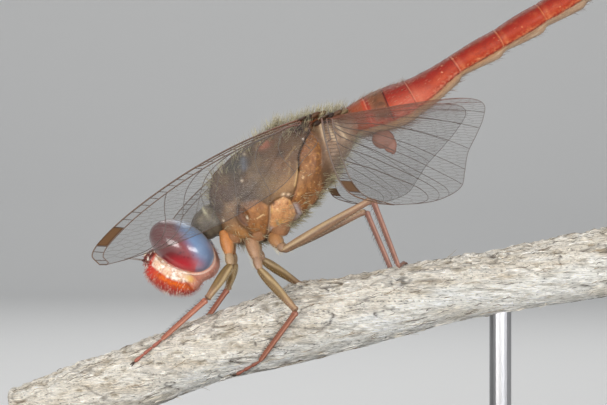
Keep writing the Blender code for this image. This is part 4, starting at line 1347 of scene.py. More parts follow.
def wing_net(wing, edge, veins, nodus, cell, seed):
    """All veins of a wing in its own flat frame: points, edges and thickness."""
    length = wing["length"]
    centre, links = wing_cells(length, edge, veins, cell, seed)
    pts = [np.stack([centre[:, 0] / length, centre[:, 1]], 1)]
    thick = [np.full(len(centre), 0.0062)]
    hues = [np.full(len(centre), 0)]
    edges = [links]
    count = len(centre)

    def line(share, dist, r0, r1, hue):
        nonlocal count
        n = len(share)
        pts.append(np.stack([share, dist], 1))
        thick.append(np.linspace(r0, r1, n))
        hues.append(np.full(n, hue))
        i = np.arange(n - 1) + count
        edges.append(np.stack([i, i + 1], 1))
        count += n

    share = np.linspace(0, 1, 120)
    lead, trail = chord_ends(edge, share)
    line(share, lead, 0.068, 0.034, 2)
    line(share, trail, 0.018, 0.018, 1)
    line(np.array((1.0, 1.0)), np.array((lead[-1], trail[-1])), 0.03, 0.03, 1)
    line(np.array((0.0, 0.0)), np.array((lead[0], trail[0])), 0.05, 0.03, 1)
    line(share, vein_line(veins, edge, -1, share), 0.048, 0.026, 2)
    part = np.linspace(0.0, nodus, 50)
    line(part, ease(LEADING_EDGE, part)[0] + 0.30 * (1 - ramp(part, nodus - 0.03, nodus)),
         0.045, 0.035, 2)
    for k, vein in enumerate(veins):
        part = np.linspace(vein[0], vein[1], 90)
        line(part, vein_line(veins, edge, k, part), 0.030, 0.014, 1)
    cross = [(place, place + 0.002, 0.018)
             for place in (*np.linspace(0.07, nodus, 9), *np.linspace(nodus + 0.04, 0.98, 13))
             if not SPOT_SPAN[0] < place < SPOT_SPAN[1]]
    for start, stop, girth in cross + [(place, place, 0.035) for place in SPOT_SPAN]:
        s = np.array((start, stop))
        ends = (ease(LEADING_EDGE, s)[0][0], vein_line(veins, edge, -1, s)[1])
        line(s, np.array(ends), girth, girth, 1)
    return (np.concatenate(pts), np.concatenate(edges), np.concatenate(thick),
            np.concatenate(hues))


def wing_membrane(shell, wing, edge, side, amber):
    """The clear pleated film, amber near the root; Mark says how much light it stops."""
    share = np.linspace(0, 1, 90) ** 1.15
    f = np.linspace(0, 1, 30)
    lead, trail = (line[:, None] for line in chord_ends(edge, share))
    dist = lead + (trail - lead) * f
    share = share[:, None]
    top = wing_place(wing, edge, side, share, dist, FILM_HALF)
    low = wing_place(wing, edge, side, share, dist, -FILM_HALF)
    away = np.hypot(share * wing["length"] * 0.9, dist * 0.55)
    stain = (1 - ramp(away, amber * 0.25, amber)) * (1 - 0.35 * ramp(f, 0.5, 1.0))
    tint = Tints("e6e6e4", top)
    tint.lay("c98a4a", stain * 0.9)
    body = ramp(share, 0.35, 0.85) + 2.0 * stain
    shell.plate(top, low, tint.colours, np.stack([body, 0 * body], -1))


def wing_stigma(shell, wing, edge, veins, side):
    """The dark spot between the leading edge and the radius, near the tip."""
    share = np.linspace(*SPOT_SPAN, 14)
    f = np.linspace(0, 1, 6)
    lead = ease(LEADING_EDGE, share)[0][:, None]
    rad = vein_line(veins, edge, -1, share)[:, None]
    dist = lead + (rad - lead) * f
    top = wing_place(wing, edge, side, share[:, None], dist, SPOT_HALF)
    low = wing_place(wing, edge, side, share[:, None], dist, -SPOT_HALF)
    rim = np.maximum(ramp(np.abs(f - 0.5), 0.35, 0.5)[None, :],
                     ramp(np.abs(np.linspace(-1, 1, 14)), 0.85, 1.0)[:, None])
    shell.plate(top, low, blend(tone("6b4c30"), "3c2718", rim * 0.7))


# ---- legs ----
def settle(p, r):
    """Move a foot point so that a limb of radius r rests on the bark."""
    p = np.array(p, float)
    z, radius, tilt = perch_axis(np.array([p[0]]))
    up = upright(tilt[0])
    centre = np.array((p[0], 0, z[0]))
    off = p - centre
    flat = np.array((0, off[1], 0)) + up * (off @ up)
    want = radius[0] + r + 0.02
    return p - flat + unit(flat) * want


LEG_HUES = {
    "fore": ("bc7a42", "a88a68", "866a3c", "b06a50", "9c5a48"),
    "mid": ("a98262", "a8866c", "896c40", "9a6048", "8e5644"),
    "hind": ("a8784c", "a8866a", "96755a", "a07668", "8c6656"),
}


def leg_shell(shell, name):
    """Coxa, trochanter, femur, tibia, three foot joints and two claws, all one piece."""
    side = -1 if name.endswith("left") else 1
    hues = [tone(h) * g for h, g in zip(LEG_HUES[name.split("_")[1]],
                                        (0.85, 0.80, 0.78, 0.95, 0.95))]
    pts = [np.array((x, side * y, z)) for x, y, z in LEGS[name]]
    hip, troch, knee, heel = pts[0], pts[1], pts[2], pts[3]
    toes = [settle(q, 0.11) for q in pts[3:]]
    heel = settle(heel, 0.14)

    # shade(dark) paints shade in the dark tone on one side of each segment and a pale painted
    # highlight on the other side, and makes the segment darker towards its far end
    def shade(dark):
        def paint(base, t, s):
            base = blend(base, base * 0.55, ramp(t, 0.93, 1.0) * 0.6)
            base = blend(base, dark, ramp(-s, 0.5, 1.0) * 0.35)
            return blend(base, "e0c49a", ramp(s, 0.6, 1.0) * 0.25)
        return paint

    def stripes(base, t, s):
        base = shade("4e3c22")(base, t, s)
        wave = s + 0.12 * np.sin(9 * t)
        base = blend(base, "cdb48a", bell((wave - 0.45) / 0.28) * 0.6)
        base = blend(base, "503a26", bell((wave + 0.15) / 0.16) * 0.5)
        base = blend(base, "a8806a", ramp(t, 0.55, 0.95) * 0.45)
        return blend(base, "4a2a1c", ramp(t, 0.965, 0.985) * 0.5)

    # painted highlight as a pale band down one side of the shin, with a dark band down the other
    # side and a darker knee end
    def shin(base, t, s):
        base = blend(base, "d0a08c", bell((s - 0.35) / 0.25) * 0.5)
        base = blend(base, "5e3028", bell((s + 0.25) / 0.20) * 0.6)
        return blend(base, "4a2a24", (1 - ramp(t, 0.0, 0.03)) * 0.4)

    first = hip + (troch - hip) * 0.66
    limb(shell, hip, first + (troch - hip) * 0.08,
         ((0, 0.38), (0.40, 0.44), (0.70, 0.38), (0.90, 0.27), (1, 0.20)), 28, 40, hues[0],
         shade=shade("6a4020"))
    limb(shell, first - (troch - hip) * 0.02, troch + (knee - troch) * 0.02,
         ((0, 0.17), (0.2, 0.26), (0.5, 0.29), (0.8, 0.24), (1, 0.16)), 24, 26, hues[1],
         shade=shade("5e4424"))
    limb(shell, troch - (knee - troch) * 0.01, knee,
         ((0, 0.16), (0.05, 0.24), (0.20, 0.31), (0.42, 0.315), (0.75, 0.25), (0.92, 0.205),
          (0.97, 0.235), (1, 0.16)), 24, 64, hues[2], 0.94, shade=stripes)
    limb(shell, knee, heel, ((0, 0.14), (0.03, 0.21), (0.09, 0.18), (0.5, 0.17), (0.95, 0.145),
                             (1, 0.10)), 20, 56, hues[3], 0.9, shade=shin)
    path = [heel] + toes[1:]
    last = heel
    parts = 3 if len(path) == 2 else 2
    spots = [settle(p + (q - p) * ((k + 1) / parts), 0.10)
             for p, q in zip(path, path[1:]) for k in range(parts)]
    for q in spots:
        limb(shell, last, q, ((0, 0.07), (0.3, 0.09), (0.85, 0.115), (1, 0.07)), 12, 14, hues[4])
        last = q
    run = unit(spots[-1] - spots[-2])
    across = unit(np.cross(run, (0, 0, 1.0)))
    for sign in (-1, 1):
        mid = settle(last + run * 0.22 + across * sign * 0.10, 0.07)
        tip = settle(last + run * 0.40 + across * sign * 0.16, -0.02)
        limb(shell, last, mid, ((0, 0.05), (0.5, 0.05), (1, 0.035)), 8, 8, tone("3a2416"))
        limb(shell, mid, tip, ((0, 0.038), (0.6, 0.028), (1, 0.008)), 8, 8, tone("2c1a12"))
    return troch, knee, heel


def leg_bristles(rng, hip, troch, knee, heel, store):
    """Two rows of spines down the shin, short hair down the thigh."""
    spine, thigh_hair, shin_hair = range(3)
    for a, b, radius, count, reach, kind in ((knee, heel, 0.16, 14, 0.40, spine),
                                             (knee, heel, 0.16, 20, 0.20, shin_hair),
                                             (troch, knee, 0.24, 20, 0.25, thigh_hair),
                                             (hip, troch, 0.30, 20, 0.34, thigh_hair)):
        axis = unit(b - a)
        ref = unit(np.cross(axis, (0, 1.0, 0)))
        other = np.cross(axis, ref)
        rows = (-0.45, 0.55) if kind == spine else (-1.0, -0.4, 0.3, 0.9)
        for row, turn in enumerate(rows):
            for k in range(count):
                t = 0.06 + 0.88 * (k + 0.3 * rng.random()) / count
                ang = turn + (0.15 if kind == spine else 0.5) * (rng.random() - 0.5)
                out = -ref * math.cos(ang) + other * math.sin(ang)
                if kind == thigh_hair and out[2] > 0.2:
                    out = -out
                store["root"].append(a + (b - a) * t + out * radius * 0.9)
                store["aim"].append(out * (1.0 if kind else 0.9) + axis * (0.5 if kind else 0.65))
                store["reach"].append(reach * (0.8 + 0.4 * rng.random()) * (1 - 0.35 * t))
                store["girth"].append((0.017, 0.011, 0.013)[kind])
                store["tint"].append(tone(("2e1c14", "e6dcc0", "7a4632")[kind]))
                store["place"].append((0.05 + 0.9 * t, 0.1 + 0.2 * row))


# ---- perch ----
LYING_FIBRES = 1100
RAISED_FIBRES = 90


def drawn_out(p, share):
    """Places squeezed along the stem, so that noise read there comes out drawn out."""
    return p * np.array((share, 1, 1))


def perch_shell(shell, rows=580, cols=164):
    """The bark: crumbly and flaking above, bare wood below, with rough cut ends."""
    x0 = PERCH[0][0]
    x1 = PERCH[-1][0]
    x = np.linspace(x0 + 0.05, x1 - 0.05, rows)
    z, r, tilt = perch_axis(x)
    ang = around(cols)
    up = upright(tilt)
    centre = np.stack([x, 0 * x, z], -1)
    ring = (np.cos(ang)[None, :, None] * np.array((0, 1.0, 0))
            + np.sin(ang)[None, :, None] * up[:, None, :])
    core = centre[:, None, :] + ring * r[:, None, None]
    height = np.sin(ang)[None, :] + 0.35 * layered(drawn_out(core, 0.35), 1.6, 3, 86)
    height = height + 0.5 * ramp(-x[:, None], -7.0, 4.0)
    crust = ramp(height, -0.12, 0.30)  # 1 on the crumbly bark, 0 on bare wood below
    grain = drawn_out(core, 0.10)
    coarse = layered(drawn_out(core, 0.3), 0.9, 2, 81)
    fibre = lumps(grain, 0.22, 82)
    fine = lumps(grain, 0.11, 83)
    crumb = layered(drawn_out(core, 0.6), 0.34, 3, 79)
    rind = lumps(drawn_out(core, 0.16), 0.62, 78)
    flake = ramp(rind, 0.0, 0.12)
    crack_field = lumps(drawn_out(core, 0.14), 0.50, 84)
    crack = bell(crack_field / 0.035) * ramp(lumps(drawn_out(core, 0.5), 1.2, 85), 0.0, 0.4)
    d = 0.05 * coarse + (0.030 + 0.012 * crust) * fibre + 0.022 * fine - 0.06 * crack
    d += crust * (0.14 * crumb + 0.07 * (flake - 1)) + 0.016 * lumps(core, 0.14, 80)
    scraps = ramp(lumps(drawn_out(core, 0.6), 0.26, 77), 0.25, 0.5)
    d += 0.09 * scraps * crust
    turn = ang[None, :] * r[:, None]

    def mark(at, angle, half_long, half_round):
        return np.hypot((x[:, None] - at) / half_long,
                        (turn - angle * r[:, None]) / half_round)

    knot = mark(6.35, 2.50, 0.75, 0.38)
    scar = mark(12.25, 2.05, 0.30, 0.30)
    chip = mark(3.80, 2.98, 0.62, 0.34)
    d -= 0.12 * np.exp(-knot ** 4) + 0.30 * np.exp(-scar ** 2)
    d += 0.07 * np.exp(-chip ** 6) + 0.10 * bell((scar - 1.7) / 0.4)
    end = np.minimum(x - x0, x1 - x)
    p = core + ring * d[..., None]
    rim = ramp(end[:, None], 0.0, 0.22)
    p = p - ring * ((1 - rim) * 0.20)[..., None]
    # close both ends with rough, splintered wood
    caps = []
    for first in (True, False):
        base = p[0] if first else p[-1]
        mid = base.mean(0)
        rows_in = []
        for share in (0.95, 0.88, 0.78, 0.64, 0.48, 0.32, 0.16, 0.05):
            q = mid + (base - mid) * share
            rough = 0.30 * layered(drawn_out(q, 0.1), 0.40, 3, 89)
            q = q.copy()
            q[:, 0] += (1 if first else -1) * (0.10 + rough)
            rows_in.append(q)
        caps.append(rows_in)
    near_end = np.array(caps[0][::-1])
    full = np.concatenate([near_end, p, np.array(caps[1])])
    bark = Tints("fbf4e6", p)
    bark.lay("fbf7ee", ramp(crumb + 0.4 * fibre, 0.05, 0.55) * 0.8)
    bark.lay("ab9a7e", ramp(-crumb - 0.3 * fine, 0.10, 0.55) * 0.75)
    bark.lay("f4ecde", scraps * 0.6)
    bark.lay("c4b296", ramp(lumps(grain, 0.4, 76), 0.1, 0.6) * 0.35)
    skin = Tints("fcfaf2", p)
    skin.lay("fafbf8", ramp(fibre, 0.05, 0.6) * 0.7)
    skin.lay("beb8ab", ramp(-fine - 0.5 * fibre, 0.1, 0.8) * 0.7)
    skin.lay("d8cdb8", ramp(layered(drawn_out(core, 0.2), 1.4, 3, 90), 0.05, 0.5) * 0.6)
    skin.lay(bark, 0.9 * crust)
    skin.lay("40342a", crack * 0.88)
    step = bell(rind / 0.05) * crust
    skin.lay("5e4e3c", step * 0.5)
    pits = ramp(lumps(drawn_out(core, 0.45), 0.17, 91), 0.62, 0.85)
    skin.lay("54483a", pits * (0.25 + 0.55 * crust) * ramp(lumps(core, 1.3, 92), -0.2, 0.4))
    grime = np.exp(-knot ** 4) * ramp(lumps(drawn_out(core, 0.5), 0.13, 94), -0.5, 0.3)
    skin.lay("4f4c49", grime * 0.8)
    skin.lay("3f2f20", np.exp(-(scar * 1.2) ** 4) * 0.85)
    skin.lay("f4efe4", np.exp(-chip ** 6) * 0.9)
    raw = Tints("d9ceb6", near_end)
    raw.lay("94805f", ramp(lumps(drawn_out(near_end, 0.2), 0.25, 93), -0.1, 0.6) * 0.6)
    shell.tube(full, np.concatenate([raw.colours, skin.colours, raw.colours[::-1]]))
    return p, grid_normals(p)


def perch_fibres(rng, p, n, material):
    """Loose threads of bark that stand off the stem."""
    rows, cols = p.shape[:2]
    points = []
    edges = []
    thick = []
    tints = []
    total = 0

    def thread(line, girths, hue):
        nonlocal total
        n_points = len(line)
        points.append(line)
        edges.append(np.stack([np.arange(n_points - 1), np.arange(1, n_points)], 1) + total)
        thick.append(girths)
        tints.append(np.broadcast_to(hue, (n_points, 3)))
        total += n_points

    shades = [tone(h) for h in ("fdfbf6", "f8f3e8", "efe6d4", "a08c70", "6e5d48", "4c3f30")]
    girths = np.array((3, 8, 11, 12, 11, 9, 6, 2)) * 0.0013
    for k in range(LYING_FIBRES):
        reach = 5 + 20 * rng.random() ** 2
        i = rng.integers(4, rows - 30) + np.linspace(0, reach, 8)
        j = rng.random() * cols + (rng.random() - 0.5) * 0.16 * (i - i[0])
        j = j + 0.5 * np.sin(i * 0.3 + k)
        low = i.astype(int)
        at = np.rint(j).astype(int) % cols
        share = (i - low)[:, None]
        skin = p[low, at] * (1 - share) + p[low + 1, at] * share
        out = n[low, at]
        middle = p[low].mean(1)
        out = out * np.where(((skin - middle) * out).sum(1) > 0, 1.0, -1.0)[:, None]
        thread(skin + out * (0.004 + 0.010 * rng.random()), girths * (0.7 + 0.9 * rng.random()),
               shades[int(rng.integers(0, len(shades)))])
    for k in range(RAISED_FIBRES):
        i = int(rng.integers(6, rows - 6))
        j = int(rng.integers(0, cols))
        out = n[i, j] if n[i, j] @ (p[i, j] - p[i].mean(0)) > 0 else -n[i, j]
        along = unit(np.array((1.0, 0, 0.35))) * (1 if rng.random() < 0.5 else -1)
        reach = 0.30 + 0.75 * rng.random() ** 2
        lift = 0.15 + 0.55 * rng.random() ** 2
        bend = (rng.random(3) - 0.5) * 0.5
        steps = np.linspace(0, 1, 7)
        line = (p[i, j] - out * 0.03 + along * (reach * steps)[:, None]
                + out * (lift * reach * steps ** 1.5)[:, None]
                + bend * (0.4 * reach * steps ** 2)[:, None])
        thread(line, np.linspace(0.024, 0.007, 7) * (0.7 + 0.6 * rng.random()),
               tone("d9d0bd" if rng.random() < 0.6 else "9a886e"))
    spin_threads("perch_fibres", np.concatenate(points), np.concatenate(edges),
                        np.concatenate(thick), np.concatenate(tints), material, "perch_bark")


# ---- settings a user would change ----
class DragonflyBodySettings(bpy.types.PropertyGroup):
    gloss: bpy.props.FloatProperty(
        name="Shell roughness", description="Roughness of the tail and thorax plates",
        default=0.42, min=0.05, max=1.0, subtype="FACTOR")
    eye_gloss: bpy.props.FloatProperty(
        name="Eye roughness", description="Roughness of the faceted eyes",
        default=0.30, min=0.02, max=1.0, subtype="FACTOR")
    feeler_reach: bpy.props.FloatProperty(
        name="Feeler length", description="Length of each bristle-like feeler",
        default=0.0016, min=0.0005, max=0.002, unit="LENGTH", precision=5)


class DragonflyWingSettings(bpy.types.PropertyGroup):
    film: bpy.props.FloatVectorProperty(
        name="Film colour", description="Tone laid over the clear wing film",
        default=(0.125, 0.12, 0.115), size=3, min=0.0, max=1.0, subtype="COLOR")
    film_share: bpy.props.FloatProperty(
        name="Film strength", description="How much of the light one face of the film stops",
        default=0.14, min=0.0, max=1.0, subtype="FACTOR")
    vein_gain: bpy.props.FloatProperty(
        name="Vein thickness", description="Factor on the thickness of every vein",
        default=1.0, min=0.2, max=2.0, subtype="FACTOR")


class DragonflyCoatSettings(bpy.types.PropertyGroup):
    seed: bpy.props.IntProperty(
        name="Seed", description="Seed for the places and lengths of the hairs", default=7)
    density: bpy.props.FloatProperty(
        name="Hair density", description="Factor on the number of hairs",
        default=1.0, min=0.1, max=2.0, subtype="FACTOR")
    reach: bpy.props.FloatProperty(
        name="Hair length", description="Typical length of a hair on the back",
        default=0.00070, min=0.0001, max=0.001, unit="LENGTH", precision=5)


class DragonflyStageSettings(bpy.types.PropertyGroup):
    floor: bpy.props.FloatVectorProperty(
        name="Floor colour", description="Tone of the plain floor and backdrop",
        default=(0.86, 0.86, 0.85), size=3, min=0.0, max=1.0, subtype="COLOR")
    key: bpy.props.FloatProperty(
        name="Main lamp", description="Power of the large soft lamp", default=0.15,
        min=0.0, max=20.0, unit="POWER")
    fill: bpy.props.FloatProperty(
        name="Fill lamp", description="Power of each soft lamp beside the camera", default=0.40,
        min=0.0, max=20.0, unit="POWER")


# ---- operators ----
class DRAGONFLY_OT_thorax(bpy.types.Operator):
    """Build the thorax skin with its front ring, seams and wing hinges"""
    bl_idname = "dragonfly.thorax"
    bl_label = "Thorax"

    def execute(self, context):
        look = context.scene.dragonfly_body
        shell = Shell()
        p, _, marks = thorax_grid()
        shell.tube(body_to_world(p[..., 0], p[..., 1], p[..., 2]), thorax_tints(p, marks))
        neck_shell(shell)
        for side in (-1, 1):
            for a, b, r in (((-3.2, 0.88, -1.2), (-3.95, 0.68, -1.75), 0.60),
                            ((-2.2, 1.05, -1.8), (-2.60, 0.86, -2.55), 0.64),
                            ((-0.6, 1.10, -2.1), (-1.25, 0.88, -3.05), 0.70)):
                ends = [body_to_world(np.array(q[0]), np.array(side * q[1]), np.array(q[2]))
                        for q in (a, b)]
                limb(shell, ends[0], ends[1], ((0, r), (0.5, r * 0.95), (0.85, r * 0.80),
                                               (1, r * 0.55)), 32, 30, tone("8e6443"),
                     shade=lambda base, t, s: blend(blend(base, "cdb59a",
                                                          ramp(t, 0.86, 0.94) * 0.7),
                                                    tone("6a4424"), ramp(t, 0.95, 1.0) * 0.8))
            hinge(shell, FORE_WING, side)
            hinge(shell, HIND_WING, side)
        obj = shell.object("thorax_skin")
        paint = Paint("Thorax plates").tinted(11000, 0.22).bumps(14000, 0.5, 0.00003)
        paint.uneven_gloss(5000, look.gloss - 0.06, look.gloss + 0.22)
        paint.set(Specular_IOR_Level=0.4)
        finish_piece(obj, paint.mat, "thorax_brown", "thorax", "prothorax")
        return {"FINISHED"}


class DRAGONFLY_OT_abdomen(bpy.types.Operator):
    """Build the ringed tail with its belly plates, lobe and end claspers"""
    bl_idname = "dragonfly.abdomen"
    bl_label = "Abdomen"

    def execute(self, context):
        look = context.scene.dragonfly_body
        shell = Shell()
        abdomen_shell(shell)
        lobe_shell(shell)
        tail = np.array((22.94, 0.0, 37.54))
        run = unit(np.array((0.57, 0.0, 0.32)))
        up = np.array((-run[2], 0, run[0]))
        red = tone("b8341f")
        for side in (-1, 1):
            a = tail - run * 0.15 + np.array((0, side * 0.28, 0)) + up * 0.10
            limb(shell, a, a + run * 1.15 + up * 0.05, ((0, 0.15), (0.4, 0.20), (0.75, 0.17),
                                                         (1, 0.03)), 16, 22, red)
        a = tail - run * 0.15 - up * 0.22
        limb(shell, a, a + run * 0.80 + up * 0.12, ((0, 0.20), (0.6, 0.18), (1, 0.06)), 16, 18,
             red * 0.9)
        obj = shell.object("abdomen_skin")
        paint = Paint("Tail plates").tinted(12000, 0.14).bumps(16000, 0.35, 0.00002)
        paint.uneven_gloss(3500, look.gloss - 0.06, look.gloss + 0.14)
        paint.set(Specular_IOR_Level=0.28)
        finish_piece(obj, paint.mat, "abdomen_red", *["abdomen_%d" % k for k in range(1, 11)],
                     "genital_lobe", "cercus_left", "cercus_right", "epiproct")
        return {"FINISHED"}


class DRAGONFLY_OT_head(bpy.types.Operator):
    """Build the head skin with its frons, clypeus, lips, jaws and cheeks"""
    bl_idname = "dragonfly.head"
    bl_label = "Head"

    def execute(self, context):
        shell = Shell()
        head_shell(shell)
        for f, y, u, r, hue in ((1.55, 0.0, 1.90, 0.13, "d8cfc0"),
                                (1.38, 0.20, 2.02, 0.11, "c8b8a0"),
                                (1.38, -0.20, 2.02, 0.11, "c8b8a0")):
            centre = head_to_world(np.array((f, y, u)))
            ball(shell, centre, (r, r, r), tone(hue), 10, 14)
        obj = shell.object("head_skin")
        paint = Paint("Face plates").tinted(10000, 0.12).bumps(15000, 0.4, 0.00002)
        paint.uneven_gloss(4000, 0.26, 0.42)
        finish_piece(obj, paint.mat, "face_red", "head", "face")
        return {"FINISHED"}


class DRAGONFLY_OT_eyes(bpy.types.Operator):
    """Build the two big faceted eyes"""
    bl_idname = "dragonfly.eyes"
    bl_label = "Eyes"

    def execute(self, context):
        look = context.scene.dragonfly_body
        paint = Paint("Faceted eye").tinted(6000, 0.06)
        paint.bumps(26000, 0.25, 0.00001, cells=True)
        paint.set(Roughness=look.eye_gloss, Coat_Weight=1.0, Coat_Roughness=0.11)
        for side, word in ((-1, "left"), (1, "right")):
            shell = Shell()
            eye_shell(shell, side)
            finish_piece(shell.object("eye_skin_" + word), paint.mat, "eye_red", "eye_" + word)
        return {"FINISHED"}


class DRAGONFLY_OT_feelers(bpy.types.Operator):
    """Build the two short feelers: two thick joints and a fine bristle"""
    bl_idname = "dragonfly.feelers"
    bl_label = "Feelers"

    def execute(self, context):
        reach = context.scene.dragonfly_body.feeler_reach / MM
        shell = Shell()
        for side in (-1, 1):
            aim = unit(np.array((0.45, side * 0.40, 1.0)))
            a = np.array((1.62, side * 0.45, 1.62))
            b = a + aim * 0.25
            c = b + aim * 0.22
            d = c + aim * (reach - 0.45)
            a, b, c, d = (head_to_world(q) for q in (a, b, c, d))
            limb(shell, a, b, ((0, 0.12), (0.5, 0.13), (1, 0.09)), 12, 12, tone("5a2a1c"))
            limb(shell, b, c, ((0, 0.06), (0.5, 0.085), (1, 0.05)), 12, 12, tone("4a241a"))
            limb(shell, c, d, ((0, 0.028), (0.3, 0.020), (1, 0.006)), 10, 26, tone("6a5546"))
        paint = Paint("Feeler shell").tinted(15000, 0.15).bumps(30000, 0.3, 0.00001)
        paint.set(Roughness=0.45)
        finish_piece(shell.object("feelers"), paint.mat, "leg_brown", "antenna_left",
                     "antenna_right")
        return {"FINISHED"}


class DRAGONFLY_OT_legs(bpy.types.Operator):
    """Build the six jointed legs with feet and claws, and their spines"""
    bl_idname = "dragonfly.legs"
    bl_label = "Legs"

    def execute(self, context):
        look = context.scene.dragonfly_body
        rng = np.random.default_rng(context.scene.dragonfly_coat.seed + 11)
        paint = Paint("Leg shell").tinted(14000, 0.18).bumps(18000, 0.4, 0.00002)
        paint.uneven_gloss(6000, look.gloss - 0.04, look.gloss + 0.16)
        store = {key: [] for key in ("root", "aim", "reach", "girth", "tint", "place")}
        for name in LEGS:
            shell = Shell()
            troch, knee, heel = leg_shell(shell, name)
            finish_piece(shell.object(name + "_skin"), paint.mat, "leg_brown", name)
            x, y, z = LEGS[name][0]
            hip = np.array((x, -y if name.endswith("left") else y, z))
            leg_bristles(rng, hip, troch, knee, heel, store)
        data = {key: np.array(value) for key, value in store.items()}
        bristle = Paint("Leg spines").tinted(20000, 0.10)
        bristle.set(Roughness=0.5)
        grow_bristles("leg_spines", data["root"], data["aim"], data["reach"], data["girth"],
                      data["place"], data["tint"], bristle.mat, "leg_brown", 0.10, 4)
        return {"FINISHED"}


class DRAGONFLY_OT_wings(bpy.types.Operator):
    """Build the four wings: a clear pleated film, its net of veins and the wing spots"""
    bl_idname = "dragonfly.wings"
    bl_label = "Wings"

    def execute(self, context):
        look = context.scene.dragonfly_wings
        film = Paint("Wing film")
        tint = film.node("ShaderNodeAttribute", attribute_name="Tint")
        mix = film.node("ShaderNodeMix", data_type="RGBA", blend_type="MULTIPLY")
        mix.inputs[0].default_value = 1.0
        mix.inputs[7].default_value = (*look.film, 1.0)
        film.join(tint, "Color", mix, 6)
        film.join(mix, 2, film.shader, "Base Color")
        film.bumps(9000, 0.35, 0.00003)
        place = film.node("ShaderNodeAttribute", attribute_name="Mark")
        parts = film.node("ShaderNodeSeparateXYZ")
        film.join(place, "Vector", parts, 0)
        stops = film.node("ShaderNodeMapRange", From_Min=0.0, From_Max=2.0,
                          To_Min=look.film_share * 0.5, To_Max=look.film_share * 1.6)
        film.join(parts, "X", stops, "Value")
        film.join(stops, "Result", film.shader, "Alpha")
        film.set(Roughness=0.35, Specular_IOR_Level=0.08)
        veins = Paint("Wing veins").tinted(16000, 0.12)
        veins.set(Roughness=0.42)
        spot = Paint("Wing spot").tinted(18000, 0.12).bumps(20000, 0.3, 0.00001)
        spot.set(Roughness=0.7, Specular_IOR_Level=0.05)
        hues = np.array((tone("6f625a"), tone("4c382a"), tone("664830")))
        kinds = (("fore", FORE_WING, FORE_EDGE, FORE_VEINS, 0.48, 3.2, 0.62),
                 ("hind", HIND_WING, HIND_EDGE, HIND_VEINS, 0.41, 7.5, 0.66))
        for word, wing, edge, lines, nodus, amber, cell in kinds:
            share, links, thick, hue = wing_net(wing, edge, lines, nodus, cell, 5)
            for side, hand in ((-1, "left"), (1, "right")):
                name = "wing_%s_%s" % (word, hand)
                shell = Shell()
                wing_membrane(shell, wing, edge, side, amber)
                finish_piece(shell.object(name + "_film"), film.mat, "wing_clear", name)
                points = wing_place(wing, edge, side, share[:, 0], share[:, 1])
                colour = hues[hue]
                near = 1 - ramp(share[:, 0] * wing["length"], 0.5, 7.0)
                colour = blend(colour, "8e4a2e", near * 0.55)
                spin_threads(name + "_veins", points, links, thick, colour, veins.mat,
                             "wing_clear", look.vein_gain)
                shell = Shell()
                wing_stigma(shell, wing, edge, lines, side)
                finish_piece(shell.object(name + "_spot"), spot.mat, "wing_clear")
        return {"FINISHED"}


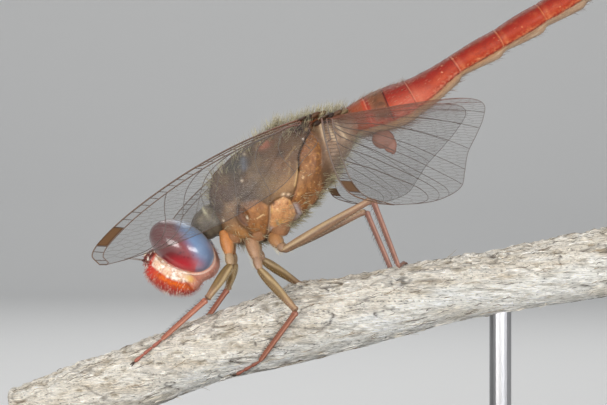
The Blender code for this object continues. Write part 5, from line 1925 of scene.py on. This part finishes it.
class DRAGONFLY_OT_coat(bpy.types.Operator):
    """Grow the pale hairs of the back, breast, hips, tail base and face"""
    bl_idname = "dragonfly.coat"
    bl_label = "Coat"

    def execute(self, context):
        look = context.scene.dragonfly_coat
        rng = np.random.default_rng(look.seed)
        reach = look.reach / MM
        hair = Paint("Pale hair").tinted(20000, 0.08)
        hair.set(Roughness=0.5)
        p, n, marks = thorax_grid(90, 120)
        back = p[..., 0]
        crown = ramp(marks["level"], 0.45, 0.9)
        clump = ramp(lumps(p, 0.42, 65), -0.15, 0.35)
        weight = (crown * clump * (0.3 + 1.3 * ramp(back, 0.0, 3.0)) + 0.02
                  + 0.7 * ramp(-marks["level"], 0.55, 0.95) * clump
                  + 0.14 * ramp(-back, 1.8, 3.4))
        weight = weight * ramp(back, -4.1, -3.7) * (1 - ramp(back, 6.4, 6.8))
        if n[45, 0, 1] * p[45, 0, 1] < 0:
            n = -n
        count = int(HAIRS["thorax"] * look.density)
        roots, out, place, i, j = sow(rng, p, n, weight, count)
        lie = np.array((1.0, 0, 0.1))
        spread = rng.normal(size=(count, 3)) * 0.33
        crownish = crown[i, j]
        aims = out + lie * (0.55 - 0.25 * crownish)[:, None] + spread
        below = ramp(-marks["level"][i, j], 0.4, 0.9)
        lengths = (reach * (0.55 + 0.55 * rng.random(count))
                   * (0.55 + 0.75 * crownish + 0.35 * below))
        girths = 0.016 + 0.008 * rng.random(count)
        world = body_to_world(roots[:, 0], roots[:, 1], roots[:, 2])
        tints = blend(tone("d6ceaa"), "6e5c40", rng.random(count) * 0.8)
        grow_bristles("coat_thorax", world, body_turn(aims), lengths, girths, place, tints,
                      hair.mat, "thorax_brown", 0.22)

        shell = Shell()
        q, m, fold, seg = abdomen_shell(shell, 260, 60)
        early = (0.25 + 1.0 * (seg < 1) + 0.8 * (seg == 1) + 0.3 * (seg == 2))[:, None]
        weight = early * (0.4 + 1.0 * ramp(fold, 2.0, 2.5) + 0.6 * ramp(1.0 - fold, 0, 0.8))
        count = int(HAIRS["abdomen"] * look.density)
        roots, out, place, i, j = sow(rng, q, m, weight, count)
        run = unit(np.gradient(q.mean(1), axis=0))
        aims = out * 0.6 + run[i] * 0.9 + rng.normal(size=(count, 3)) * 0.22
        early = np.array((1.0, 0.75, 0.5, 0.4, 0.35, 0.35, 0.35, 0.35, 0.35, 0.35))[seg[i]]
        lengths = reach * early * (0.4 + 0.5 * rng.random(count))
        lengths = lengths * (1 + 1.1 * ramp(fold[0, j], 2.5, 2.9))
        tints = blend(tone("b39478"), "5a2a1c", (rng.random(count) < 0.6) * 0.8)
        grow_bristles("coat_abdomen", roots, aims, lengths, 0.008 + 0.003 * rng.random(count),
                      place, tints, hair.mat, "abdomen_red", 0.15)

        shell = Shell()
        w, m, local, e = head_shell(shell, 90, 120)
        f = local[..., 0]
        u = local[..., 2]
        if m[45, 30] @ (w[45, 30] - w.mean((0, 1))) < 0:
            m = -m
        bare = ramp(e, 1.03, 1.10)
        weight = bare * (1.3 * ramp(f + 0.25 * u, 1.0, 1.4) + 0.5 * ramp(-u, 1.2, 1.8)
                         + 0.4 * ramp(-f, 0.6, 1.2) + 0.05)
        weight = weight + bare * 2.2 * ramp(e, 1.55, 1.9) * ramp(f, 0.4, 0.9)
        count = int(HAIRS["face"] * look.density)
        roots, out, place, i, j = sow(rng, w, m, weight, count)
        down = np.array((-0.1, 0.0, -0.9))
        aims = out * 0.9 + down * 0.5 + rng.normal(size=(count, 3)) * 0.25
        low = ramp(e[i, j], 1.5, 1.8) * ramp(f[i, j], 0.4, 0.9)
        lengths = reach * (0.18 + 0.20 * rng.random(count)) * (1 + 0.25 * low)
        tints = blend(tone("f0e6d4"), "b22c1e", (rng.random(count) < 0.68) * 0.9)
        grow_bristles("coat_face", roots, aims, lengths, 0.010 + 0.005 * rng.random(count),
                      place, tints, hair.mat, "face_red", 0.12)
        return {"FINISHED"}


class DRAGONFLY_OT_perch(bpy.types.Operator):
    """Build the weathered stem with its fibres and cracks"""
    bl_idname = "dragonfly.perch"
    bl_label = "Perch"

    def execute(self, context):
        rng = np.random.default_rng(23)
        shell = Shell()
        p, n = perch_shell(shell)
        paint = Paint("Weathered stem")
        grain = paint.noise(14000.0, 5.0, 0.65, (0.12, 1.0, 1.0))
        flecks = paint.noise(9500.0, 2.0, 0.5, (0.40, 1.0, 1.0))
        both = paint.node("ShaderNodeMath",
                          (0, paint.spread(grain, "Fac", 0.62, 1.34, 0.34, 0.66), "Result"),
                          (1, paint.spread(flecks, "Fac", 1.0, 0.40, 0.64, 0.72), "Result"),
                          operation="MULTIPLY")
        paint.scaled_tint(both, "Value").raised(both, "Value", 1.0, 0.00012)
        paint.set(Roughness=0.9, Specular_IOR_Level=0.2)
        finish_piece(shell.object("perch_skin"), paint.mat, "perch_bark", "perch")
        thread = Paint("Bark fibre").tinted(20000, 0.1)
        thread.set(Roughness=0.8)
        perch_fibres(rng, p, n, thread.mat)
        return {"FINISHED"}


class DRAGONFLY_OT_stand(bpy.types.Operator):
    """Finish the base and rods of the display stand"""
    bl_idname = "dragonfly.stand"
    bl_label = "Stand"

    def execute(self, context):
        base = Paint("Satin black base")
        base.set(Base_Color=(0.018, 0.018, 0.02, 1.0))
        base.uneven_gloss(900, 0.32, 0.46)
        base.bumps(4000, 0.2, 0.00002)
        steel = Paint("Brushed steel rod")
        steel.set(Base_Color=(0.40, 0.40, 0.41, 1.0), Metallic=1.0)
        steel.uneven_gloss(7000, 0.30, 0.46)
        steel.bumps(12000, 0.15, 0.00001)
        for name, paint in (("stand_base", base), ("stand_rod_front", steel),
                            ("stand_rod_rear", steel)):
            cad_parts[name].material_slots[0].material = paint.mat
        return {"FINISHED"}


class DRAGONFLY_OT_stage(bpy.types.Operator):
    """Lay the plain floor and backdrop, the soft lamps and the camera"""
    bl_idname = "dragonfly.stage"
    bl_label = "Stage"

    def execute(self, context):
        look = context.scene.dragonfly_stage
        bm = bmesh.new()
        profile = [(-0.6, 0.0)]
        for k in range(17):
            a = math.pi / 2 * k / 16
            profile.append((0.30 + 0.10 * math.sin(a), 0.10 - 0.10 * math.cos(a)))
        profile.append((0.40, 0.60))
        last = None
        for y, z in profile:
            row = [bm.verts.new((x, y, z)) for x in (-0.9, 0.9)]
            if last is not None:
                bm.faces.new((last[0], last[1], row[1], row[0]))
            last = row
        mesh = bpy.data.meshes.new("floor")
        bm.to_mesh(mesh)
        bm.free()
        floor = placed("floor", mesh)
        paint = Paint("Pale floor")
        paint.set(Base_Color=(*look.floor, 1.0), Roughness=0.9)
        mesh.materials.append(paint.mat)

        def lamp(name, place, aim, size, power, colour, spread=180):
            data = bpy.data.lights.new(name, "AREA")
            data.spread = math.radians(spread)
            data.shape = "RECTANGLE"
            data.size = size[0]
            data.size_y = size[1]
            data.energy = power
            data.color = colour
            obj = placed(name, data)
            obj.location = place
            way = Vector(aim) - Vector(place)
            obj.rotation_euler = way.to_track_quat("-Z", "Y").to_euler()

        lamp("main_lamp", (-0.06, -0.13, 0.22), (0, 0, 0.022), (0.30, 0.22), look.key,
             (1.0, 0.98, 0.95))
        lamp("left_lamp", (-0.080, -0.17, 0.018), (-0.01, 0, 0.02), (0.12, 0.12),
             look.fill * 0.28, (1.0, 0.98, 0.96), 90)
        lamp("right_lamp", (0.110, -0.17, 0.012), (-0.01, 0, 0.02), (0.11, 0.11),
             look.fill * 0.22, (0.98, 0.98, 1.0), 90)
        lamp("rim_lamp", (0.02, 0.15, 0.20), (0, 0, 0.025), (0.22, 0.16), look.fill * 0.4,
             (1.0, 1.0, 1.0))
        world = bpy.data.worlds.new("Pale room")
        world.use_nodes = True
        sky = world.node_tree.nodes["Background"]
        sky.inputs["Color"].default_value = (0.90, 0.92, 0.95, 1.0)
        sky.inputs["Strength"].default_value = 0.38
        context.scene.world = world
        data = bpy.data.cameras.new("camera")
        data.sensor_width = SENSOR_WIDTH
        data.lens = SENSOR_WIDTH * CAMERA_AWAY / VIEW_WIDTH
        data.clip_start = 0.002
        data.clip_end = 5.0
        camera = placed("camera", data)
        camera.location = (0.0, -CAMERA_AWAY * MM, CAMERA_UP * MM)
        camera.rotation_euler = (math.radians(90.0), 0.0, 0.0)
        context.scene.camera = camera
        context.scene.view_settings.view_transform = "Standard"
        return {"FINISHED"}


STEPS = ("stage", "stand", "perch", "thorax", "abdomen", "head", "eyes", "feelers", "legs", "wings",
         "coat")


class DRAGONFLY_PT_panel(bpy.types.Panel):
    """Lists the settings and the steps of the build"""
    bl_idname = "DRAGONFLY_PT_panel"
    bl_label = "Dragonfly"
    bl_space_type = "VIEW_3D"
    bl_region_type = "UI"
    bl_category = "Dragonfly"

    def draw(self, context):
        scene = context.scene
        for key, words in (("dragonfly_body", ("gloss", "eye_gloss", "feeler_reach")),
                           ("dragonfly_wings", ("film", "film_share", "vein_gain")),
                           ("dragonfly_coat", ("seed", "density", "reach")),
                           ("dragonfly_stage", ("floor", "key", "fill"))):
            box = self.layout.box()
            for word in words:
                box.prop(getattr(scene, key), word)
        for step in STEPS:
            self.layout.operator("dragonfly." + step)


CLASSES = (
    DragonflyBodySettings, DragonflyWingSettings, DragonflyCoatSettings, DragonflyStageSettings,
    DRAGONFLY_OT_stage, DRAGONFLY_OT_stand, DRAGONFLY_OT_perch, DRAGONFLY_OT_thorax,
    DRAGONFLY_OT_abdomen, DRAGONFLY_OT_head, DRAGONFLY_OT_eyes, DRAGONFLY_OT_feelers,
    DRAGONFLY_OT_legs, DRAGONFLY_OT_wings, DRAGONFLY_OT_coat, DRAGONFLY_PT_panel,
)


def register():
    for cls in CLASSES:
        bpy.utils.register_class(cls)
    scene = bpy.types.Scene
    scene.dragonfly_body = bpy.props.PointerProperty(type=DragonflyBodySettings)
    scene.dragonfly_wings = bpy.props.PointerProperty(type=DragonflyWingSettings)
    scene.dragonfly_coat = bpy.props.PointerProperty(type=DragonflyCoatSettings)
    scene.dragonfly_stage = bpy.props.PointerProperty(type=DragonflyStageSettings)


def unregister():
    scene = bpy.types.Scene
    del scene.dragonfly_body
    del scene.dragonfly_wings
    del scene.dragonfly_coat
    del scene.dragonfly_stage
    for cls in reversed(CLASSES):
        bpy.utils.unregister_class(cls)


def main():
    register()
    for step in STEPS:
        getattr(bpy.ops.dragonfly, step)()


if __name__ == "__main__":
    main()
